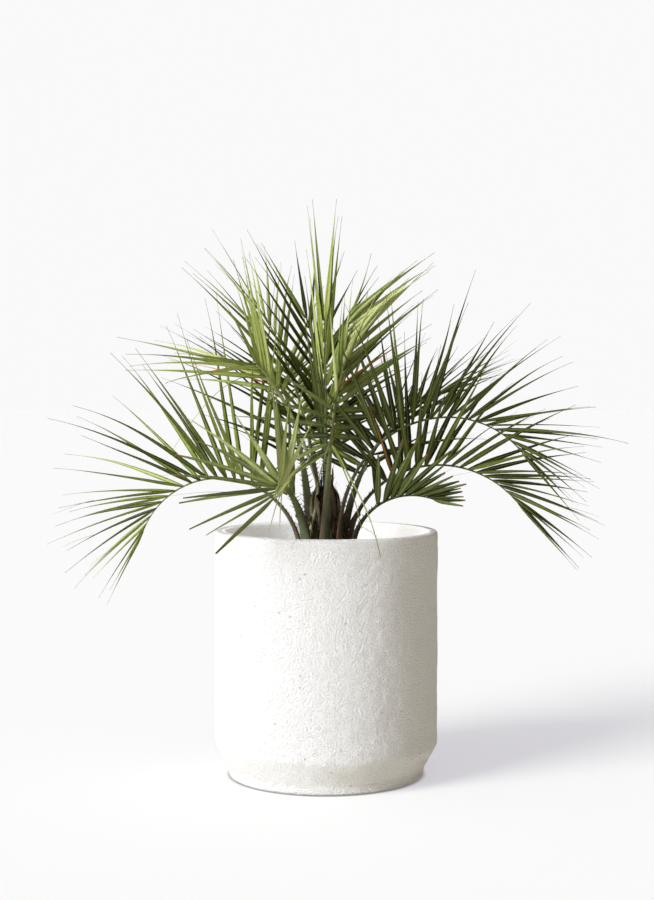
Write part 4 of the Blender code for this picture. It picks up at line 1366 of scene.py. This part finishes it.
def stalk(spec, tone):
    """A D-shaped tube along the stalk's path, which the foot continues down into the stem.

    The foot runs from the seat down and outwards or inwards to where the sheath grips the
    crown: place = seat - z * drop * t, at a radius that goes smoothly to the foot's own. Its
    margins curl round the stem by curl * across squared.
    """
    stops = np.linspace(0.0, 1.0, STALK_ROWS)
    centre, along, right, up, sizes = stalk_frames(spec, stops)
    drop, grip, foot_width = FEET[spec["ring"]]
    azimuth, radius = math.radians(spec["foot"][0]), spec["foot"][1]
    t = np.linspace(1.0, 0.0, FOOT_ROWS, endpoint=False)
    reach = radius + (grip - radius) * smooth_step(t, 0.0, 1.0) * (radius > 0)
    foot = polar(reach, azimuth, centre[0, 2] - drop * t)
    centre = np.concatenate([foot, centre])
    along = np.concatenate([unit(np.gradient(foot, axis=0)), along])
    right = np.concatenate([np.ones((FOOT_ROWS, 1)) * right[0], right])
    up = unit(np.cross(right, along))
    growth = 1.0 + (foot_width / sizes[0, 0] - 1.0) * smooth_step(t, 0.0, 0.9)
    sizes = np.concatenate([sizes[0] * growth[:, None] ** (1.0, 0.35), sizes])
    share = np.concatenate([-0.1 * t, stops])
    angle = -2 * np.pi * (np.arange(STALK_RING) + 0.5) / STALK_RING
    cos, sin = np.cos(angle), np.sin(angle)
    x = np.sign(cos) * np.abs(cos) ** 0.75
    z = np.where(sin > 0, 0.55 * np.abs(sin) ** 0.5 + 0.12 * cos ** 2,
                 0.25 - np.abs(sin) ** 0.85)
    across = x * sizes[:, :1] / 2
    curl = FOOT_CURL * (1.0 - smooth_step(share, -0.02, 0.12))[:, None] + STALK_CURL
    points = centre[:, None] + right[:, None] * across[..., None]
    points += up[:, None] * (z * sizes[:, 1:] / 2 + curl * across ** 2)[..., None]
    lengths = np.linalg.norm(np.diff(centre, axis=0), axis=1)
    travelled = np.concatenate([[0.0], np.cumsum(lengths)])[:, None]
    husk = (1.0 - smooth_step(share, -0.10, -0.06))[:, None] * (0.75 + 0.25 * np.abs(x) ** 3)
    clinging = 0.34 * (1.0 - smooth_step(share, 0.04, 0.24))[:, None] * (0.45 + 0.55 * x ** 2)
    return tubes(points[None], STALK_PAINT, (travelled, across + 0.003 * sin),
                 along=np.maximum(share, 0)[:, None], across=x, tone=tone, dry=husk + clinging)


def spines(spec, rng):
    """Teeth on both margins: four-sided points that lean out and forwards."""
    stops = np.repeat(np.linspace(0.07, spec["first"] - 0.02, SPINE_PAIRS), 2)
    centre, along, right, up, sizes = stalk_frames(
        spec, stops + rng.normal(0, 0.004, 2 * SPINE_PAIRS))
    out = right * np.tile([1.0, -1.0], SPINE_PAIRS)[:, None]
    base = centre + out * sizes[:, :1] * 0.47 + up * sizes[:, 1:] * 0.20
    way = unit(out + along * rng.uniform(0.3, 0.9, (len(stops), 1)) + up * 0.35)
    size = 1.25 if spec["ring"] == "collar" else 0.8
    length = SPINE_LENGTH * size * rng.uniform(0.6, 1.3, (len(stops), 1))
    t = np.array([0.0, 0.5, 1.0])
    middle = base[:, None] + way[:, None] * (t * length)[..., None]
    one, two = unit(np.cross(way, up)), unit(np.cross(way, np.cross(way, up)))
    ring = circle(one[:, None], two[:, None], 4) * SPINE_RADII[:, None, None]
    return tubes(middle[:, :, None] + ring, SPINE_PAINT,
                 tone=rng.uniform(0.1, 0.7, (len(stops), 1, 1)))


# %% [markdown]
# Old leaflets of a jelly palm split along their margins, and the strip that comes off hangs on
# as a long pale thread. A few of these trail from each frond, and catch the light. Thin leaflets
# that hang straight from a stalk have the same shape.

# %% Threads
THREAD_RADIUS = 0.00030
THREAD_GIRTH = 0.0004


def threads(start, way, length, radius, sag, rng, rows=12, ring=4, **traits):
    """Thin tubes: start + way * length * t, less sag * length * t ** 2 in height, with a
    sideways curl. The radius falls to 0.35 of its size."""
    t = np.linspace(0.0, 1.0, rows)[None, :, None]
    length, sag, radius = (np.reshape(values, (-1, 1, 1)) for values in (length, sag, radius))
    aside = unit(np.cross(way, (0.0, 0.0, 1.0)) + 1e-6)[:, None]
    curl, phase = rng.normal(0, 1, (2, len(start), 1, 1))
    swing = 0.10 * curl * t ** 2 + 0.02 * np.sin(7 * t + 6 * phase) * t
    middle = start[:, None] + way[:, None] * length * t + aside * length * swing
    middle[..., 2] -= (sag * length * t ** 2)[..., 0]
    along = unit(np.gradient(middle, axis=1))
    one = unit(np.cross(along, unit(np.array([0.31, 0.22, 0.92]))))
    points = circle(one, np.cross(along, one), ring) * (radius * (1.0 - 0.65 * t))[..., None]
    around = 2 * np.pi * np.arange(ring) / ring * THREAD_GIRTH
    return tubes(middle[:, :, None] + points, LEAF_PAINT, (length * t, around), along=t,
                 upper=1.0, across=0.4, **traits)


def leaf_threads(leaves, amount, rng):
    """Threads that start on chosen leaflets, beyond the middle, and stay near the leaflet's
    way."""
    start, way, length = [], [], []
    for i in rng.choice(len(leaves), min(amount, len(leaves)), replace=False):
        leaf, u = leaves[i], rng.uniform(0.35, 0.75)
        start.append(leaf["root"] + leaf["way"] * leaf["length"] * u)
        start[-1][2] -= leaf["droop"] * leaf["length"] * u ** 2.2
        way.append(leaf["way"] + rng.normal(0, 0.10, 3))
        length.append(leaf["length"] * (1.0 - u) * rng.uniform(0.75, 1.15))
    return threads(np.array(start), unit(np.array(way)), length, THREAD_RADIUS, 0.12, rng,
                   tone=0.75, tip=0.25, dry=0.2)


# %% [markdown]
# ## Fronds
#
# A frond is one piece: its stalk, leaflets, teeth and threads grow as one. Its traits differ
# from frond to frond, partly as on the plant and partly as painted light and shade: the ones in
# the light are painted a lighter yellow-green, the ones behind and on the right darker. A few
# leaflets have dried.

# %% Fronds
# Thin leaflets and hairs that hang from a stalk: share along it, way, length, radius, sag.
TRAILS = {
    "frond_front": ((0.44, (0.22, -0.78, -0.22), 0.205, 0.0019, 0.42),
                    (0.43, (0.42, -0.42, -0.45), 0.075, 0.0012, 0.90),
                    (0.47, (-0.25, -0.55, -0.60), 0.120, 0.0009, 0.50)),
    "frond_right_cut": ((0.20, (0.52, -0.42, -0.20), 0.115, 0.0004, 0.45),),
    "frond_left_fan": ((0.66, (-0.25, -0.60, -0.35), 0.130, 0.0007, 0.60),
                       (0.72, (0.25, -0.50, 0.10), 0.140, 0.0006, 0.95),
                       (0.80, (-0.55, -0.40, 0.10), 0.160, 0.0006, 0.80)),
    "frond_front_left": ((0.60, (-0.40, -0.30, -0.65), 0.052, 0.0010, 0.40),
                         (0.70, (0.05, -0.30, -0.80), 0.045, 0.0010, 0.30)),
}
DRY_LEAFLETS = {"frond_front": (17,), "frond_left_fan": (4,), "frond_right_low": (2,)}
GREY_FRONDS = ("frond_front", "frond_front_left", "frond_right_cut")
THREADS_PER_FROND = 5
LOOKS_SEED = 700
DRY_VALUE, MOST_DRYNESS = 0.95, 0.12
DRY_WIDTH = 0.32
BROWN_TIPS = (0.02, 0.14)


def grow_frond(frond, number):
    """One frond as one piece. The spear is too young to have threads."""
    spec, leaves, tones = FRONDS[frond], LEAFLETS[frond], TONES_AND_PAINTED_LIGHT[frond]
    rng = np.random.default_rng(LOOKS_SEED + number)
    for i, leaf in enumerate(leaves):
        dried = i in DRY_LEAFLETS.get(frond, ())
        leaf["dry"] = DRY_VALUE if dried else MOST_DRYNESS * rng.random()
        leaf["widest"] *= DRY_WIDTH if dried else 1.0
        leaf["brown"] = rng.uniform(*BROWN_TIPS)
    # The stalk takes the tone of its frond's lowest right leaflets, painted light and shade
    # included.
    shapes = [blades(leaves, tones, WIDTH_SHARES.get(frond, 1.0), rng),
              stalk(spec, tones[0][0]), spines(spec, rng)]
    if frond != "frond_spear":
        shapes.append(leaf_threads(leaves, THREADS_PER_FROND, rng))
    if frond in TRAILS:
        stops, ways, *sizes = (np.array(column) for column in zip(*TRAILS[frond]))
        shapes.append(threads(stalk_frames(spec, stops)[0], unit(ways), *sizes, rng,
                              tone=0.62, tip=0.05, dry=0.1))
    leaf_name = "grey_green_leaf" if frond in GREY_FRONDS else "green_leaf"
    piece = piece_from(frond + "_leaf", shapes, [LEAF[leaf_name], STALK, SPINE])
    settle(piece, leaf_name, frond)


for number, frond in enumerate(FRONDS):
    grow_frond(frond, number)

# %% [markdown]
# ## Stem
#
# The stem of a young palm is a bundle: the bases of old fronds, cut or rotted short, wrapped in
# the brown net of fibre that each sheath leaves behind. The core is turned and pushed in and out
# in ridges that run up it. Short flat husks, the old leaf bases, stand round it like scales, and
# a few on the left lean away from it. Many strands cross over all of it in both directions, and
# the ends of some lift off and curl out.

# %% Stem core
STEM_PROFILE = np.array((
    (0.0, 0.0), (0.0355, 0.0), (0.0355, 0.066), (0.045, 0.074), (0.0500, 0.083),
    (0.0500, 0.088), (0.0380, 0.0920), (0.0275, 0.1000), (0.0215, 0.1120), (0.0195, 0.1280),
    (0.0178, 0.1450), (0.0150, 0.1600), (0.0105, 0.1700), (0.0050, 0.1755), (0.0, 0.1765)))
STEM_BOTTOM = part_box("palm_stem")[0].z


def stem_radius(height):
    """The core's radius at a height, read off its profile."""
    return np.interp(height - STEM_BOTTOM, STEM_PROFILE[1:-1, 1], STEM_PROFILE[1:-1, 0])


def stem_core():
    """The profile, turned, then moved out by ridges cos(12a), cos(7a) and noise."""
    lengths = np.linalg.norm(np.diff(STEM_PROFILE, axis=0), axis=1)
    step = np.concatenate([[0], np.cumsum(lengths)])
    fine = np.unique(np.concatenate([step, np.linspace(0.05, step[-1], 110)]))
    radius, height = (np.interp(fine, step, column) for column in STEM_PROFILE.T)
    shape = turned(np.stack([radius, height + STEM_BOTTOM], axis=1), 120, dry=1.0)
    points = shape["points"]
    x, y, z = points.T
    angle = np.arctan2(y, x)
    squeezed = points * (1, 1, 0.22)
    ridge = 0.0013 * np.cos(12 * angle + 14 * z / 0.1) + 0.0010 * np.cos(7 * angle - 60 * z)
    rough = 0.0016 * lattice_noise(squeezed, 0.006, 31)
    rough += 0.0008 * lattice_noise(squeezed, 0.0028, 32)
    above = smooth_step(z, SOIL_TOP - 0.004, SOIL_TOP + 0.004)
    below_top = 1.0 - 0.5 * smooth_step(z, STEM_BOTTOM + 0.165, STEM_BOTTOM + 0.18)
    shift = (ridge + rough - 0.0012) * above * below_top
    shape["points"] = points + polar(1.0, angle) * shift[:, None]
    shape["uv"] = np.stack([z, angle * 0.025], axis=1)
    shape["traits"]["tone"] = 0.22 + 0.25 * lattice_noise(squeezed, 0.008, 33)
    return shape


# %% [markdown]
# Husks and strands could be modelled one by one. Here each is placed by its angle and height, at
# the core's radius for that height, so that all of them sit on the core.

# %% Husks and strands
FIBRE_PAINT, SHEATH_PAINT, HUSK_PAINT = 0, 1, 2
HUSK_THICKNESS = 0.0007
GOLDEN_TURN = 0.381966
STRAND_ROWS = 8
STRAND_SIDES = 4


def husks(count, seed, lows, lengths, widths, leans, paint, start=0.0):
    """Old leaf bases: flat tongues that lean on the core, each curved round it, tapering to a
    torn end. Row t rises by length * t and leans out by lean * t squared."""
    rng = np.random.default_rng(seed)
    angle = start + 2 * np.pi * (np.arange(count) * GOLDEN_TURN) + rng.normal(0, 0.15, count)
    low, length, width, lean = (
        rng.uniform(*span, count)[:, None, None] for span in (lows, lengths, widths, leans))
    angle, t = angle[:, None, None], np.linspace(0.0, 1.0, 10)[:, None]
    tear = 1.0 + 0.10 * np.sin(9.0 * RING_ACROSS + 7.0 * angle) * t
    z = low + length * t * tear
    base = stem_radius(z) + 0.0012 + lean * t ** 2 + 0.0015 * np.abs(RING_ACROSS) * t
    half = width / 2 * (1.0 - 0.55 * t ** 1.6) * (1.0 + 0.12 * np.sin(11 * t + 5 * angle))
    across = angle + RING_ACROSS * half / np.maximum(base, 0.02)
    return tubes(polar(base + RING_SIDE * HUSK_THICKNESS, across, z), paint,
                 (z, RING_ACROSS * half), along=0.1 * t, across=RING_ACROSS, dry=0.25 + 0.35 * t,
                 tone=(0.30 + 0.30 * rng.random(count))[:, None, None] - 0.25 * t)


def strands(count, seed, low, high, reach, radius, rise, loose=0.0):
    """Fibres wound over the core. Along a strand the angle turns by turn * t and the height
    rises by length * t; the end lifts off by loose * t ** 3."""
    rng = np.random.default_rng(seed)

    def draws(lowest, highest):
        return rng.uniform(lowest, highest, (count, 1))
    angle, start, length = draws(0, 2 * np.pi), draws(low, high), draws(0.6, 1.4) * rise
    turn = rng.choice((-1.0, 1.0), (count, 1)) * draws(0.2, 1.0) * reach
    t = np.linspace(0.0, 1.0, STRAND_ROWS)
    wiggle = rng.normal(0, 0.05, (count, 1)) * np.sin(6 * t + 6 * draws(0.0, 1.0))
    a, z = angle + turn * t + wiggle, start + length * t
    r = stem_radius(z) + 0.0014 + draws(0, 0.0016) + loose * draws(0.2, 1.0) * t ** 3
    middle, away = polar(r, a, z), polar(1.0, a)
    along = unit(np.gradient(middle, axis=1))
    one = unit(away - along * (along * away).sum(-1, keepdims=True))
    size = (radius * draws(0.6, 1.5) * (1.0 - 0.5 * t))[..., None, None]
    ring = circle(one, np.cross(along, one), STRAND_SIDES) * size
    around = 2 * np.pi * np.arange(STRAND_SIDES) / STRAND_SIDES * THREAD_GIRTH
    return tubes(middle[:, :, None] + ring, FIBRE_PAINT, ((length * t)[..., None], around),
                 along=t[:, None], tone=draws(0.05, 0.85)[..., None])


# %% [markdown]
# The shapes of the stem, from the core outwards. Husks are given by how many there are, a seed,
# and the ranges of their lower ends, lengths, widths and leans. Strands are given by how many
# there are, a seed, the range of their lower ends, how far they turn, their radius and rise.

# %% Stem
def make_stem():
    """Joins the shapes of the stem into one piece."""
    soil, foot = SOIL_TOP, STEM_BOTTOM
    shapes = [
        stem_core(),
        husks(40, 41, (soil - 0.004, soil + 0.040), (0.022, 0.038), (0.009, 0.016),
              (0.0, 0.006), SHEATH_PAINT),
        husks(13, 44, (soil + 0.012, soil + 0.040), (0.060, 0.090), (0.014, 0.020),
              (0.002, 0.007), HUSK_PAINT),
        husks(5, 45, (soil + 0.010, soil + 0.018), (0.046, 0.056), (0.010, 0.015),
              (0.022, 0.032), HUSK_PAINT, start=np.pi),
        strands(380, 42, soil, foot + 0.165, 0.9, 0.00042, 0.030),
        strands(110, 43, soil + 0.010, foot + 0.168, 0.5, 0.00028, 0.034, loose=0.012),
        strands(90, 46, soil + 0.020, foot + 0.130, 0.9, 0.00036, 0.026, loose=0.026)]
    stem = piece_from("palm_stem_fibrous", shapes, [FIBRE, SHEATH, STALK])
    settle(stem, "stem_fibre", "palm_stem")


make_stem()
